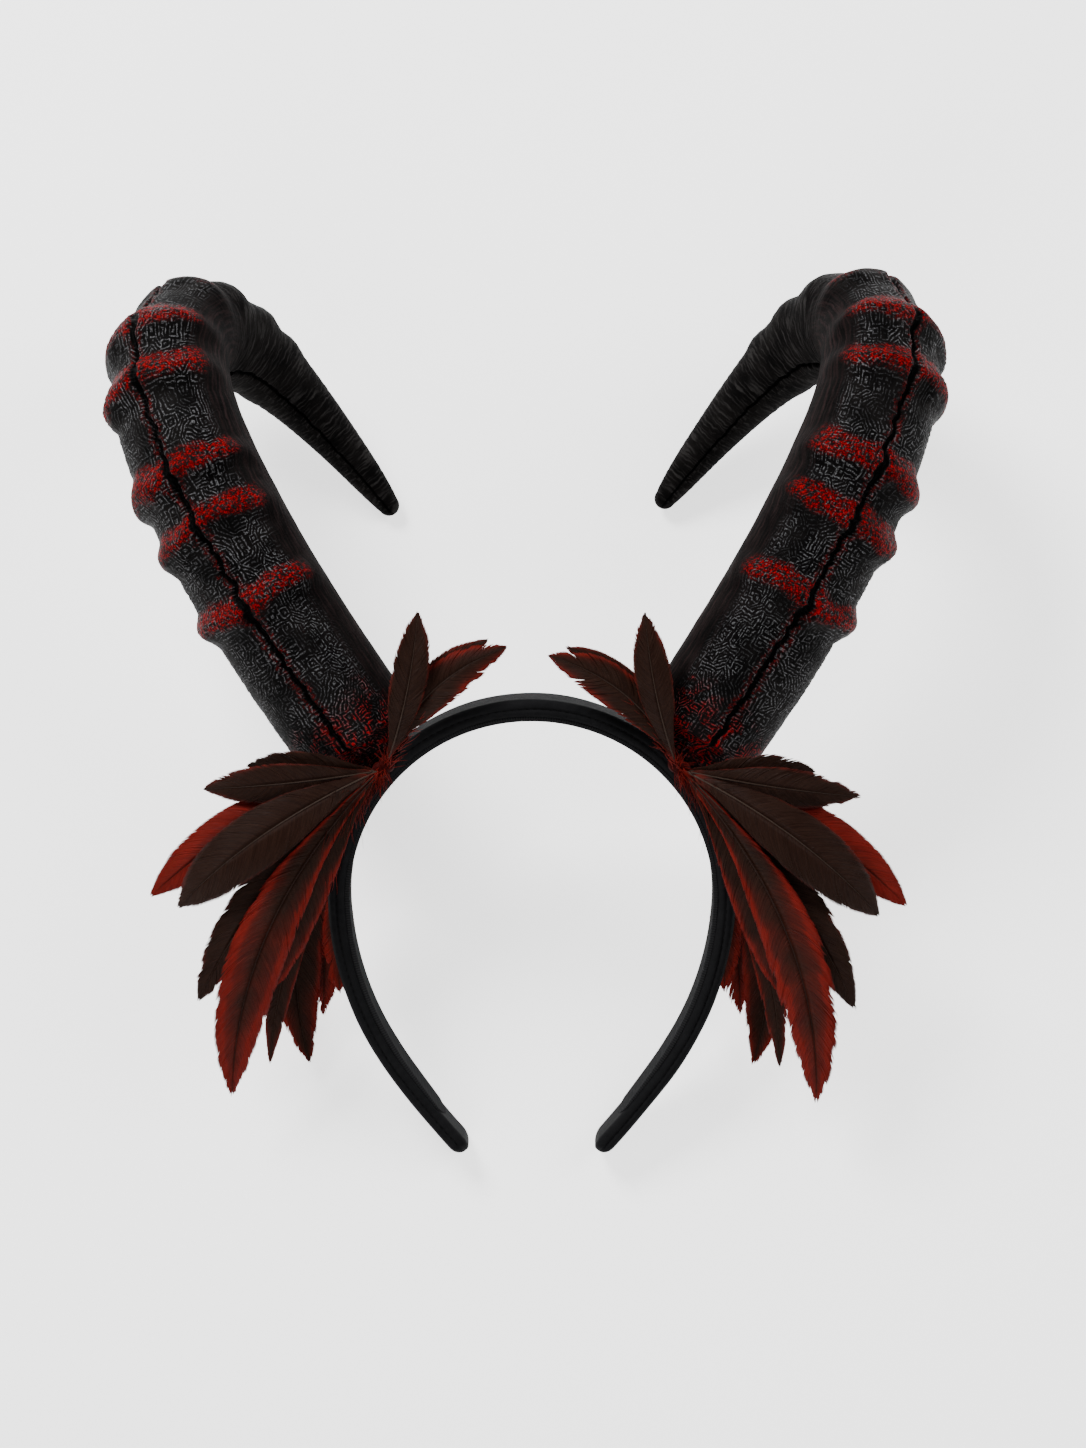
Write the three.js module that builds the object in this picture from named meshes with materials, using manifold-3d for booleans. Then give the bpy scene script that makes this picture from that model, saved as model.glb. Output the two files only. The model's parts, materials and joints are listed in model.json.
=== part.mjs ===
// A costume headband with two curled horns and fans of feathers. Millimetres, +Z up.
// Every piece is modelled as worn, seen from the front: +X to the right, +Y backwards, +Z up, with the
// centre of the crown arc at the origin. The left side is modelled, and the right side is its mirror image.
// At the end the whole thing leans back until it lies on the two ends of the band and the backs of the horns.
import * as THREE from "three";
import { mergeVertices } from "three/addons/utils/BufferGeometryUtils.js";
import Module from "manifold-3d";

const wasm = await Module();
wasm.setup();

// Band: a padded satin hoop with a ribbon lining glued inside it
const crownRadius = 62; // inner face of the lining, over the head
const templeRadius = 106; // inner face, where the legs turn inwards
const legRadius = 350; // inner face, down to the ends
const templeSweep = 33; // degrees of turn along the temple
const legSweep = 5; // degrees of turn along the leg
const bandWidth = 16; // front to back
const coverThickness = 6;
const coverCorner = 2.4; // rounding of the padded edges
const bandEndLength = 5.5; // rounded end past the last full section
const liningThickness = 1.2;
const liningWidth = 13;
const liningEndMargin = 9; // bare band past the end of the lining

// Horns: moulded foam, each narrowed below its root to a foot on the crown
const hornAngle = 47; // degrees from the top of the crown to the middle of the root
const hornTilt = 34.6; // degrees that the horn's root leans outwards from upright
const hornLength = 281; // along the middle of the horn
const hornHalfWidth = 23.2; // across the plane of the curl
const hornHalfDepth = 20; // in the plane of the curl
const hornSetBack = 6; // middle of the root behind the middle of the band
const curlTurnIn = 25; // degrees that the plane of the curl turns in from straight back
const ridgeHeight = 3.8; // tallest ring
const ridgeHalfLength = 7.5; // along the horn
const ridgeMiddle = 18; // degrees from the outermost line of the curl to where the rings are tallest
const ridgeFadeStart = 60; // degrees round the horn from there
const ridgeFadeEnd = 125;
const seamDepth = 1.6; // groove where the two halves of the mould met
const seamHalfAngle = 5; // degrees round the horn
const seamTurn = 10; // degrees from the outermost line of the curl towards the head
const footHeight = 11.5; // from the band to the middle of the horn's root
const footHalfWidth = 15;
const footHalfDepth = 7.5;

// Feathers
const knotAngle = 44; // degrees from the top of the crown to the glued heads of the front feathers
const knotRadius = 4.5;
const knotHeight = 4.2; // in front of the band
const knotInset = 3.5; // middle of the heads inside the outer face of the band
const rootOffset = 0.5; // quill ends from the middle of the heads, as a share of their radius
const featherLength = 126; // longest
const featherWidth = 21; // widest
const quillThickness = 1.5;
const vaneEdgeThickness = 0.7;
const vaneCamber = 0.05; // rise of the quill over the vane's edges, as a share of its half width
const tapeThickness = 1.4; // strip that the rear feathers are sewn to
const tapeWidth = 5;
const tapeStart = 59; // degrees from the top of the crown
const tapeEnd = 86;

const pieceGap = 0.3; // clearance between touching pieces
const facetStep = 6; // degrees along the crown
const templeStep = 4.2; // degrees along the temple
const legStep = 2.5; // degrees along the leg
const spineSteps = 400; // steps along the middle of a horn
const hornSectors = 9; // facets round a horn from one seam to the other
const coverCornerPoints = 3; // points round each padded edge of the band
const knotSteps = 4; // facets up a glued head
const tapeSteps = 5; // facets along the tape

// Rounding of the band's ends: degrees from the last full section to each narrowing ring
const END_ROUNDING = [30, 60, 82];

// Foot of a horn: height below the root as a share of the foot's, and how far it has narrowed
const HORN_FOOT = [
  { height: 0.12, size: 0.3 },
  { height: 0.45, size: 0.75 },
  { height: 1.5, size: 1 },
];

// Horn curl: how far the middle line has turned from its root, in degrees
const HORN_BEND = [
  { share: 0.0, turned: 0 },
  { share: 0.2, turned: 8 },
  { share: 0.32, turned: 17 },
  { share: 0.42, turned: 30 },
  { share: 0.48, turned: 45 },
  { share: 0.54, turned: 67 },
  { share: 0.6, turned: 98 },
  { share: 0.66, turned: 131 },
  { share: 0.72, turned: 153 },
  { share: 0.8, turned: 168 },
  { share: 0.9, turned: 176 },
  { share: 1.0, turned: 182 },
];

// Horn taper: width and depth as shares of the root's
const HORN_TAPER = [
  { share: 0.0, width: 1.0, depth: 0.82 },
  { share: 0.12, width: 1.0, depth: 0.88 },
  { share: 0.3, width: 0.97, depth: 0.98 },
  { share: 0.4, width: 0.93, depth: 1.0 },
  { share: 0.5, width: 0.89, depth: 0.98 },
  { share: 0.58, width: 0.82, depth: 0.92 },
  { share: 0.66, width: 0.7, depth: 0.8 },
  { share: 0.73, width: 0.56, depth: 0.64 },
  { share: 0.8, width: 0.42, depth: 0.5 },
  { share: 0.87, width: 0.32, depth: 0.38 },
  { share: 0.94, width: 0.235, depth: 0.265 },
  { share: 0.975, width: 0.175, depth: 0.195 },
  { share: 0.99, width: 0.1, depth: 0.11 },
];

// Rings round the horn, from the root up: height as a share of the tallest
const HORN_RIDGES = [
  { share: 0.207, height: 0.96 },
  { share: 0.305, height: 0.92 },
  { share: 0.37, height: 1.0 },
  { share: 0.478, height: 1.0 },
  { share: 0.535, height: 0.9 },
  { share: 0.6, height: 0.8 },
  { share: 0.65, height: 0.6 },
  { share: 0.7, height: 0.4 },
  { share: 0.75, height: 0.25 },
];

// Rings of points at each ridge, from its middle, as shares of its half length; closer ones are left out
const RIDGE_RINGS = [-1, -0.55, 0, 0.55, 1];
const closestRings = 0.3;

// Shape of every vane: width as a share of the feather's own
const VANE = [
  { share: 0.0, width: 0.16 },
  { share: 0.12, width: 0.3 },
  { share: 0.28, width: 0.66 },
  { share: 0.45, width: 0.93 },
  { share: 0.62, width: 1.0 },
  { share: 0.78, width: 0.86 },
  { share: 0.9, width: 0.56 },
  { share: 0.97, width: 0.26 },
  { share: 1.0, width: 0.06 },
];

// Feathers that stand up beside the horn. aim is degrees outwards from straight up, and roll is degrees
// that the vane turns about its quill. Length and width are shares of the longest and the widest feather's.
// As shares of its own length, bow is how far the middle arches upwards or outwards from a straight line,
// lift is how far it arches forwards, and tipBack is how far the tip lies behind the root.
const TUFT = [
  { aim: -8, length: 0.4, width: 0.62, bow: -0.029, lift: 0.098, tipBack: -0.059, roll: 8 },
  { aim: -43, length: 0.43, width: 0.71, bow: 0.12, lift: 0.074, tipBack: 0.019, roll: -12 },
  { aim: -52, length: 0.21, width: 0.43, bow: 0.074, lift: 0.056, tipBack: 0, roll: -25 },
];

// Feathers that fan out and down
const FAN = [
  { aim: 124, length: 0.66, width: 1, bow: 0.082, lift: 0.145, tipBack: -0.048, roll: 12 },
  { aim: 118, length: 0.73, width: 0.86, bow: 0.092, lift: 0.054, tipBack: 0.033, roll: 8 },
  { aim: 96, length: 0.48, width: 0.71, bow: 0.016, lift: 0.115, tipBack: 0, roll: -6 },
  { aim: 88, length: 0.37, width: 0.62, bow: 0.011, lift: 0.087, tipBack: 0.043, roll: -16 },
  { aim: 139, length: 0.8, width: 0.81, bow: 0.074, lift: 0.069, tipBack: 0.02, roll: 4 },
  { aim: 153.5, length: 1, width: 1, bow: 0.119, lift: 0.079, tipBack: -0.016, roll: -14 },
  { aim: 152, length: 0.7, width: 0.81, bow: 0.051, lift: 0.062, tipBack: 0.034, roll: -6 },
  { aim: 157, length: 0.89, width: 0.48, bow: 0.08, lift: 0.027, tipBack: 0.054, roll: 0 },
];

// Feathers behind the band. seat is the share of the way down the tape to the quill's end.
const SPRAY = [
  { seat: 0.11, aim: 165, length: 0.77, width: 0.67, bow: 0.067, lift: -0.031, tipBack: 0.031, roll: 0 },
  { seat: 0.33, aim: 163, length: 0.55, width: 0.71, bow: 0.052, lift: -0.034, tipBack: 0.069, roll: 0 },
  { seat: 0.59, aim: 170, length: 0.46, width: 0.62, bow: 0.034, lift: -0.023, tipBack: 0.114, roll: 0 },
  { seat: 0.81, aim: 177, length: 0.33, width: 0.52, bow: 0.015, lift: -0.03, tipBack: 0.091, roll: 0 },
];

const satin = new THREE.MeshStandardMaterial({ color: 0x17171a, roughness: 0.42, metalness: 0 });
const ribbon = new THREE.MeshStandardMaterial({ color: 0x0d0d0f, roughness: 0.9, metalness: 0 });
const paintedFoam = new THREE.MeshStandardMaterial({ color: 0x1a1516, roughness: 0.48, metalness: 0 });
const dyedFeather = new THREE.MeshStandardMaterial({ color: 0x3a1512, roughness: 0.6, metalness: 0 });

const radians = THREE.MathUtils.degToRad;
const { lerp, clamp, smoothstep } = THREE.MathUtils;
const vector = (x, y, z) => new THREE.Vector3(x, y, z);

// A table's value at a share of the length, on a smooth curve through its rows
function tableValue(rows, column, share) {
  const last = rows.length - 1;
  const next = clamp(rows.findIndex((row) => row.share > share), 1, last);
  const above = share >= rows[last].share ? last : next;
  const [low, high] = [rows[above - 1], rows[above]];
  const slopeAt = (i) => {
    const [a, b] = [rows[Math.max(i - 1, 0)], rows[Math.min(i + 1, last)]];
    return (b[column] - a[column]) / (b.share - a.share);
  };
  const span = high.share - low.share;
  const t = clamp((share - low.share) / span, 0, 1);
  const [t2, t3] = [t * t, t * t * t];
  return (
    (2 * t3 - 3 * t2 + 1) * low[column] +
    (t3 - 2 * t2 + t) * span * slopeAt(above - 1) +
    (3 * t2 - 2 * t3) * high[column] +
    (t3 - t2) * span * slopeAt(above)
  );
}

// Turns every face of a closed mesh over if they point inwards
function facingOut(geometry) {
  const points = geometry.attributes.position;
  const index = geometry.index.array;
  const corner = (i) => new THREE.Vector3().fromBufferAttribute(points, index[i]);
  let volume = 0;
  for (let i = 0; i < index.length; i += 3) {
    volume += corner(i).dot(corner(i + 1).cross(corner(i + 2)));
  }
  for (let i = 0; i < index.length && volume < 0; i += 3) {
    [index[i + 1], index[i + 2]] = [index[i + 2], index[i + 1]];
  }
  return geometry;
}

// A closed mesh through rings of points, each ring as long as the first, with a flat fan over each end
function loft(rings) {
  const around = rings[0].length;
  const positions = rings.flat().flatMap((p) => [p.x, p.y, p.z]);
  const triangles = [];
  const corner = (ring, point) => ring * around + (point % around);
  for (let ring = 0; ring < rings.length - 1; ring++) {
    for (let point = 0; point < around; point++) {
      const [a, b] = [corner(ring, point), corner(ring, point + 1)];
      const [c, d] = [corner(ring + 1, point), corner(ring + 1, point + 1)];
      triangles.push(a, b, d, a, d, c);
    }
  }
  [0, rings.length - 1].forEach((ring) => {
    const middle = positions.length / 3;
    const centre = rings[ring].reduce((sum, p) => sum.add(p), vector(0, 0, 0)).divideScalar(around);
    positions.push(centre.x, centre.y, centre.z);
    for (let point = 0; point < around; point++) {
      const [a, b] = [corner(ring, point), corner(ring, point + 1)];
      triangles.push(middle, ...(ring === 0 ? [b, a] : [a, b]));
    }
  });
  const geometry = new THREE.BufferGeometry();
  geometry.setAttribute("position", new THREE.Float32BufferAttribute(positions, 3));
  geometry.setIndex(triangles);
  return facingOut(geometry);
}

// Between three.js geometry and a manifold-3d solid, for joining and cutting
function toSolid(geometry) {
  const bare = geometry.clone();
  bare.deleteAttribute("normal");
  bare.deleteAttribute("uv");
  const merged = facingOut(mergeVertices(bare, 1e-4));
  const vertProperties = new Float32Array(merged.attributes.position.array);
  const triVerts = new Uint32Array(merged.index.array);
  return new wasm.Manifold(new wasm.Mesh({ numProp: 3, vertProperties, triVerts }));
}

function toGeometry(solid) {
  const { vertProperties, triVerts } = solid.getMesh();
  const geometry = new THREE.BufferGeometry();
  geometry.setAttribute("position", new THREE.BufferAttribute(new Float32Array(vertProperties), 3));
  geometry.setIndex(new THREE.BufferAttribute(new Uint32Array(triVerts), 1));
  return geometry;
}

// The band's inner face, as worn: heading runs from 0 at the top of the crown, clockwise seen from the front
const outward = (heading) => vector(Math.sin(radians(heading)), 0, Math.cos(radians(heading)));
const crownEnd = 90 + facetStep / 2;
const templeEnd = crownEnd + templeSweep;
const legEnd = templeEnd + legSweep;
const arcPoint = (centre, radius, heading) => outward(heading).multiplyScalar(radius).add(centre);
const crownCentre = vector(0, 0, 0);
const templeCentre = arcPoint(crownCentre, crownRadius - templeRadius, crownEnd);
const legCentre = arcPoint(templeCentre, templeRadius - legRadius, templeEnd);

function innerFace(heading) {
  const turned = Math.abs(heading);
  const [centre, radius] =
    turned <= crownEnd
      ? [crownCentre, crownRadius]
      : turned <= templeEnd
        ? [templeCentre, templeRadius]
        : [legCentre, legRadius];
  const point = arcPoint(centre, radius, turned);
  point.x *= Math.sign(heading);
  return point;
}

// Headings of the band's rings from one end to the other
function headingsTo(end) {
  const right = [];
  for (let heading = facetStep / 2; heading < crownEnd; heading += facetStep) right.push(heading);
  const arcs = [
    [crownEnd, templeEnd, templeStep],
    [templeEnd, end, legStep],
  ];
  arcs.forEach(([from, to, size]) => {
    const steps = Math.max(1, Math.round((to - from) / size));
    for (let i = 0; i < steps; i++) right.push(lerp(from, to, i / steps));
  });
  right.push(end);
  return [...right.map((heading) => -heading).reverse(), ...right];
}

// A ring of the band: section points as { out, back }, out measured from the inner face
function bandRing(heading, section) {
  return section.map(({ out, back }) =>
    innerFace(heading).addScaledVector(outward(heading), out).add(vector(0, back, 0)),
  );
}

const bandInner = liningThickness + pieceGap;
const bandOuter = bandInner + coverThickness;
const outerRadius = crownRadius + bandOuter;

// The padded cover has rounded edges, and its ends close in three narrowing rings
function buildCover() {
  const [halfOut, halfBack] = [coverThickness / 2, bandWidth / 2];
  const corners = [
    { out: 1, back: 1 },
    { out: -1, back: 1 },
    { out: -1, back: -1 },
    { out: 1, back: -1 },
  ];
  const section = corners.flatMap((corner, quarter) =>
    Array.from({ length: coverCornerPoints }, (_, i) => {
      const angle = radians(90 * (quarter + i / (coverCornerPoints - 1)));
      return {
        out: corner.out * (halfOut - coverCorner) + coverCorner * Math.cos(angle),
        back: corner.back * (halfBack - coverCorner) + coverCorner * Math.sin(angle),
      };
    }),
  );
  const placed = (size) =>
    section.map(({ out, back }) => ({ out: bandInner + halfOut + out * size, back: back * size }));
  const rings = headingsTo(legEnd).map((heading) => bandRing(heading, placed(1)));
  const endRings = (side) =>
    END_ROUNDING.map((angle) => {
      const along = bandEndLength * Math.sin(radians(angle));
      const forward = outward(side * (legEnd + 90)).multiplyScalar(along);
      return bandRing(side * legEnd, placed(Math.cos(radians(angle)))).map((p) => p.add(forward));
    });
  return loft([...endRings(-1).reverse(), ...rings, ...endRings(1)]);
}

function buildLining() {
  const half = liningWidth / 2;
  const section = [
    { out: 0, back: -half },
    { out: 0, back: half },
    { out: liningThickness, back: half },
    { out: liningThickness, back: -half },
  ];
  const marginTurn = THREE.MathUtils.radToDeg(liningEndMargin / legRadius);
  return loft(headingsTo(legEnd - marginTurn).map((heading) => bandRing(heading, section)));
}

// The left horn's own axes: up its root, and the way that it curls
const rootUp = outward(-hornTilt);
const rootAcross = outward(90 - hornTilt);
const curlWay = rootAcross
  .clone()
  .multiplyScalar(Math.sin(radians(curlTurnIn)))
  .add(vector(0, Math.cos(radians(curlTurnIn)), 0));
const curlOutside = rootUp.clone().cross(curlWay);
const rootMiddle = outward(-hornAngle)
  .multiplyScalar(outerRadius + footHeight)
  .add(vector(0, hornSetBack, 0));

// Middle line of the horn, as steps of its length
const hornSpine = [rootMiddle.clone()];
for (let i = 0; i < spineSteps; i++) {
  const turned = radians(tableValue(HORN_BEND, "turned", (i + 0.5) / spineSteps));
  const step = rootUp.clone().multiplyScalar(Math.cos(turned)).addScaledVector(curlWay, Math.sin(turned));
  hornSpine.push(hornSpine[i].clone().addScaledVector(step, hornLength / spineSteps));
}

// How far the rings stand out, at a share of the length and an angle round the horn
function hornRadiusChange(share, angle) {
  const away = Math.abs(((angle - ridgeMiddle + 540) % 360) - 180);
  const shown = 1 - smoothstep(away, ridgeFadeStart, ridgeFadeEnd);
  const halfShare = ridgeHalfLength / hornLength;
  let change = 0;
  HORN_RIDGES.forEach((ridge) => {
    const from = (share - ridge.share) / halfShare;
    if (Math.abs(from) < 1) change += ridge.height * Math.cos((from * Math.PI) / 2) ** 2;
  });
  return change * shown * ridgeHeight;
}

function hornRing(share, angles) {
  const turned = radians(tableValue(HORN_BEND, "turned", share));
  const outermost = rootUp
    .clone()
    .multiplyScalar(Math.sin(turned))
    .addScaledVector(curlWay, -Math.cos(turned));
  const halfWidth = hornHalfWidth * tableValue(HORN_TAPER, "width", share);
  const halfDepth = hornHalfDepth * tableValue(HORN_TAPER, "depth", share);
  const middle = hornSpine[Math.round(share * spineSteps)];
  return angles.map(({ angle, groove }) => {
    const direction = outermost
      .clone()
      .multiplyScalar(halfDepth * Math.cos(radians(angle)))
      .addScaledVector(curlOutside, halfWidth * Math.sin(radians(angle)));
    const change = hornRadiusChange(share, angle) - groove * seamDepth * (halfWidth / hornHalfWidth);
    return middle.clone().add(direction).addScaledVector(direction.clone().normalize(), change);
  });
}

// Angles round the horn, with three close together at each of the two seams
function hornAngles() {
  const angles = [];
  [-seamTurn, 180 - seamTurn].forEach((seam) => {
    angles.push({ angle: seam - seamHalfAngle, groove: 0 });
    angles.push({ angle: seam, groove: 1 });
    angles.push({ angle: seam + seamHalfAngle, groove: 0 });
    const [start, end] = [seam + seamHalfAngle, seam + 180 - seamHalfAngle];
    for (let i = 1; i < hornSectors; i++) {
      angles.push({ angle: lerp(start, end, i / hornSectors), groove: 0 });
    }
  });
  return angles;
}

// Shares of the length where the horn has a ring of points: at each ridge, and at the rows of the taper's tip
function hornStations() {
  const halfShare = ridgeHalfLength / hornLength;
  const last = HORN_RIDGES[HORN_RIDGES.length - 1].share;
  const shares = [0, ...HORN_TAPER.map((row) => row.share).filter((share) => share > last + halfShare)];
  HORN_RIDGES.forEach(({ share }) =>
    RIDGE_RINGS.forEach((side) => shares.push(share + side * halfShare)),
  );
  const sorted = shares.sort((a, b) => a - b);
  return sorted.filter((share, i) => i === 0 || share - sorted[i - 1] > closestRings * halfShare);
}

// Below its root the horn narrows to a foot, hollowed underneath to sit on the band
function buildHorn() {
  const angles = hornAngles();
  const stations = hornStations();
  const footRing = ({ height, size }) => {
    const middle = rootMiddle
      .clone()
      .addScaledVector(rootUp, -height * footHeight)
      .add(vector(0, -height * hornSetBack, 0));
    return hornRing(0, angles).map((p) => {
      const fromRoot = p.sub(rootMiddle);
      const back = fromRoot.y * lerp(1, footHalfDepth / hornHalfDepth, size);
      return fromRoot
        .multiplyScalar(lerp(1, footHalfWidth / hornHalfWidth, size))
        .setY(back)
        .add(middle);
    });
  };
  const foot = HORN_FOOT.map(footRing).reverse();
  const block = loft([...foot, ...stations.map((share) => hornRing(share, angles))]);
  const [seatRadius, seatLength] = [outerRadius + pieceGap, 4 * hornHalfDepth];
  const [sides, firstCorner] = [360 / facetStep, radians(facetStep / 2)];
  const seat = new THREE.CylinderGeometry(
    seatRadius, seatRadius, seatLength, sides, 1, false, firstCorner);
  return toGeometry(toSolid(block).subtract(toSolid(seat)));
}

// One feather: a thin vane with a thicker quill down its middle. aim is degrees outwards from straight up.
function feather(root, { aim, length: lengthShare, width, bow, lift, tipBack, roll }) {
  const length = lengthShare * featherLength;
  const along = outward(-aim);
  const bowWay = outward(-aim + 90).multiplyScalar(aim > 0 ? 1 : -1);
  const quillPoint = (share) => {
    const arch = 4 * share * (1 - share);
    return root
      .clone()
      .addScaledVector(along, length * share)
      .addScaledVector(bowWay, length * bow * arch)
      .add(vector(0, length * (tipBack * share - lift * arch), 0));
  };
  const step = 0.01;
  const rings = VANE.map((row) => {
    const heading = quillPoint(row.share + step).sub(quillPoint(row.share - step)).normalize();
    const front = vector(0, -1, 0).applyAxisAngle(along, radians(roll));
    const side = heading.clone().cross(front).normalize();
    const face = side.clone().cross(heading).normalize();
    const halfWidth = (featherWidth / 2) * width * row.width;
    const at = (across, high) =>
      quillPoint(row.share).addScaledVector(side, across).addScaledVector(face, high);
    const edge = vaneEdgeThickness / 2;
    return [
      at(-halfWidth, edge),
      at(0, quillThickness / 2 + vaneCamber * halfWidth),
      at(halfWidth, edge),
      at(halfWidth, -edge),
      at(0, -quillThickness / 2 + vaneCamber * halfWidth),
      at(-halfWidth, -edge),
    ];
  });
  return loft(rings);
}

const bandFront = -bandWidth / 2;
const joined = (geometries) => wasm.Manifold.union(geometries.map(toSolid));

// The glued head of a group of front feathers: half of a low dome on the front edge of the band, on one side
// of the line between the two groups. side is 1 for the half nearer the crown and -1 for the other.
function knotHalf(side) {
  const middle = outward(-knotAngle).multiplyScalar(outerRadius - knotInset);
  const profile = [new THREE.Vector2(0, 0)];
  for (let step = 0; step <= knotSteps; step++) {
    const angle = (step * Math.PI) / 2 / knotSteps;
    const radius = step === knotSteps ? 0 : knotRadius * Math.cos(angle);
    profile.push(new THREE.Vector2(radius, knotHeight * Math.sin(angle)));
  }
  const dome = new THREE.LatheGeometry(profile, 4 * knotSteps);
  dome.rotateX(Math.PI).translate(middle.x, bandFront - pieceGap, middle.z);
  const cut = new THREE.BoxGeometry(2 * knotRadius, 4 * knotHeight, 4 * knotRadius);
  cut.translate(-side * (knotRadius - pieceGap / 2), 0, 0).rotateY(radians(-knotAngle));
  cut.translate(middle.x, bandFront, middle.z);
  return { middle, solid: toSolid(dome).subtract(toSolid(cut)) };
}

function buildFrontPlume(side, feathers) {
  const { middle, solid } = knotHalf(side);
  const root = middle
    .clone()
    .addScaledVector(outward(90 - knotAngle), side * knotRadius * rootOffset)
    .add(vector(0, bandFront - pieceGap - knotHeight / 2, 0));
  return toGeometry(solid.add(joined(feathers.map((row) => feather(root, row)))));
}

// A strip of tape along the back edge of the band, with the rear feathers sewn to it
function buildRearPlume() {
  const back = bandWidth / 2 + pieceGap;
  const half = tapeWidth / 2;
  const middleOut = bandInner + coverThickness / 2;
  const section = [
    { out: middleOut - half, back },
    { out: middleOut - half, back: back + tapeThickness },
    { out: middleOut + half, back: back + tapeThickness },
    { out: middleOut + half, back },
  ];
  const headingAt = (share) => -lerp(tapeStart, tapeEnd, share);
  const rings = Array.from({ length: tapeSteps + 1 }, (_, i) => bandRing(headingAt(i / tapeSteps), section));
  const tape = loft(rings);
  const rows = SPRAY.map((row) => {
    const [root] = bandRing(headingAt(row.seat), [{ out: middleOut, back: back + tapeThickness }]);
    return feather(root, row);
  });
  return toGeometry(joined([tape, ...rows]));
}

const worn = new THREE.Group();

function place(name, geometry, material) {
  const mesh = new THREE.Mesh(geometry, material);
  mesh.name = name;
  worn.add(mesh);
}

function placePair(name, geometry, material) {
  place(`${name}_left`, geometry, material);
  place(`${name}_right`, facingOut(geometry.clone().scale(-1, 1, 1)), material);
}

place("band", buildCover(), satin);
place("band_lining", buildLining(), ribbon);
placePair("horn", buildHorn(), paintedFoam);
placePair("plume_upper", buildFrontPlume(1, TUFT), dyedFeather);
placePair("plume_lower", buildFrontPlume(-1, FAN), dyedFeather);
placePair("plume_rear", buildRearPlume(), dyedFeather);

// Lying down: the line that touches the ends of the band and the backs of the horns becomes level
const touching = worn.children.flatMap((mesh) => {
  const { array } = mesh.geometry.attributes.position;
  return Array.from({ length: array.length / 3 }, (_, i) => vector(...array.slice(3 * i, 3 * i + 3)));
});
let low = touching.reduce((lowest, p) => (p.z < lowest.z ? p : lowest));
let high = low;
const lean = (p, q) => Math.atan2(q.y - p.y, q.z - p.z);
const above = touching.filter((p) => p.z > hornSpine[0].z);
const below = touching.filter((p) => p.z < 0);
for (let i = 0; i < 4; i++) {
  high = above.reduce((a, b) => (lean(low, b) > lean(low, a) ? b : a));
  low = below.reduce((a, b) => (lean(b, high) < lean(a, high) ? b : a));
}
worn.rotation.x = lean(low, high) - Math.PI / 2;

const part = new THREE.Group();
part.add(worn);
part.updateMatrixWorld(true);
const box = new THREE.Box3().setFromObject(worn, true);
worn.position.set(-(box.min.x + box.max.x) / 2, -(box.min.y + box.max.y) / 2, -box.min.z);

export default part;
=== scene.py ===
import json
import math
from collections import namedtuple

import bmesh
import bpy
import numpy as np
from mathutils import Matrix, Vector


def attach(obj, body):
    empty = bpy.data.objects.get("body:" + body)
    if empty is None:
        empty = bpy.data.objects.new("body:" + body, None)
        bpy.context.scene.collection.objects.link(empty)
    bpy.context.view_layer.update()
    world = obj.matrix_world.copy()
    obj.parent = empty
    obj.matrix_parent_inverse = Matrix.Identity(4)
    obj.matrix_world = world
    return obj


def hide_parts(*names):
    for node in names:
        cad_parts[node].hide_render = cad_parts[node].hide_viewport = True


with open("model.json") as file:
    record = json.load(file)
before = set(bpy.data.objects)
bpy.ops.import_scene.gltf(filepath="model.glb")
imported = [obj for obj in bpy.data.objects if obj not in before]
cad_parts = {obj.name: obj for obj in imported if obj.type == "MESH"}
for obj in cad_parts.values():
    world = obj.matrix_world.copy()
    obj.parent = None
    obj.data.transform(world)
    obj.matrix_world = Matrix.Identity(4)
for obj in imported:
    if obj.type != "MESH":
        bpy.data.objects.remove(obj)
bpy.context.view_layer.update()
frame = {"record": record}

# How the headband lies. All of it is made as worn, in millimetres: +X to the right seen from the front, +Y
# backwards, +Z up, and the centre of the crown arc at the origin. It rests on its back, and the flat seat under the
# crown says where that is, so one matrix lays every piece down.
CROWN_RADIUS = 62.0  # inner face of the lining
SEAT_FACET = 6.0  # degrees of the crown that the seat takes up
seat = frame["record"]["mounts"][0]
worn_right = Vector((1, 0, 0))
worn_up = -Vector(seat["axis"])
worn_back = worn_up.cross(worn_right)
seat_depth = CROWN_RADIUS * math.cos(math.radians(SEAT_FACET / 2))
lying = Matrix((worn_right, worn_back, worn_up)).transposed().to_4x4()
lying.translation = Vector(seat["pos_m"]) - worn_up * seat_depth / 1000
as_worn = lying @ Matrix.Scale(0.001, 4)

# Band cover: black satin pulled over a padded hoop that is open at the bottom. Its two edges meet in one seam along
# the middle of the front edge, where the satin puckers, and both ends are closed in a round tip.
COVER_THICKNESS = 6.0
BAND_WIDTH = 16.0
COVER_CORNER = 2.4
LINING_THICKNESS = 1.2
TOUCH_GAP = 0.3
TIP_LENGTH = 5.5
BAND_INNER = LINING_THICKNESS + TOUCH_GAP
BAND_MIDDLE = BAND_INNER + COVER_THICKNESS / 2
BAND_OUTER = BAND_INNER + COVER_THICKNESS
BAND_ARCS = [(CROWN_RADIUS, 93.0), (106.0, 33.0), (350.0, 5.0)]  # radius and degrees, from the top down
HALF_BAND = sum(radius * math.radians(degrees) for radius, degrees in BAND_ARCS)


def outward(heading):
    """Away from the crown's centre at a heading in radians, 0 at the top and clockwise seen from the front"""
    heading = np.asarray(heading, float)
    return np.stack([np.sin(heading), 0 * heading, np.cos(heading)], axis=-1)


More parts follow.
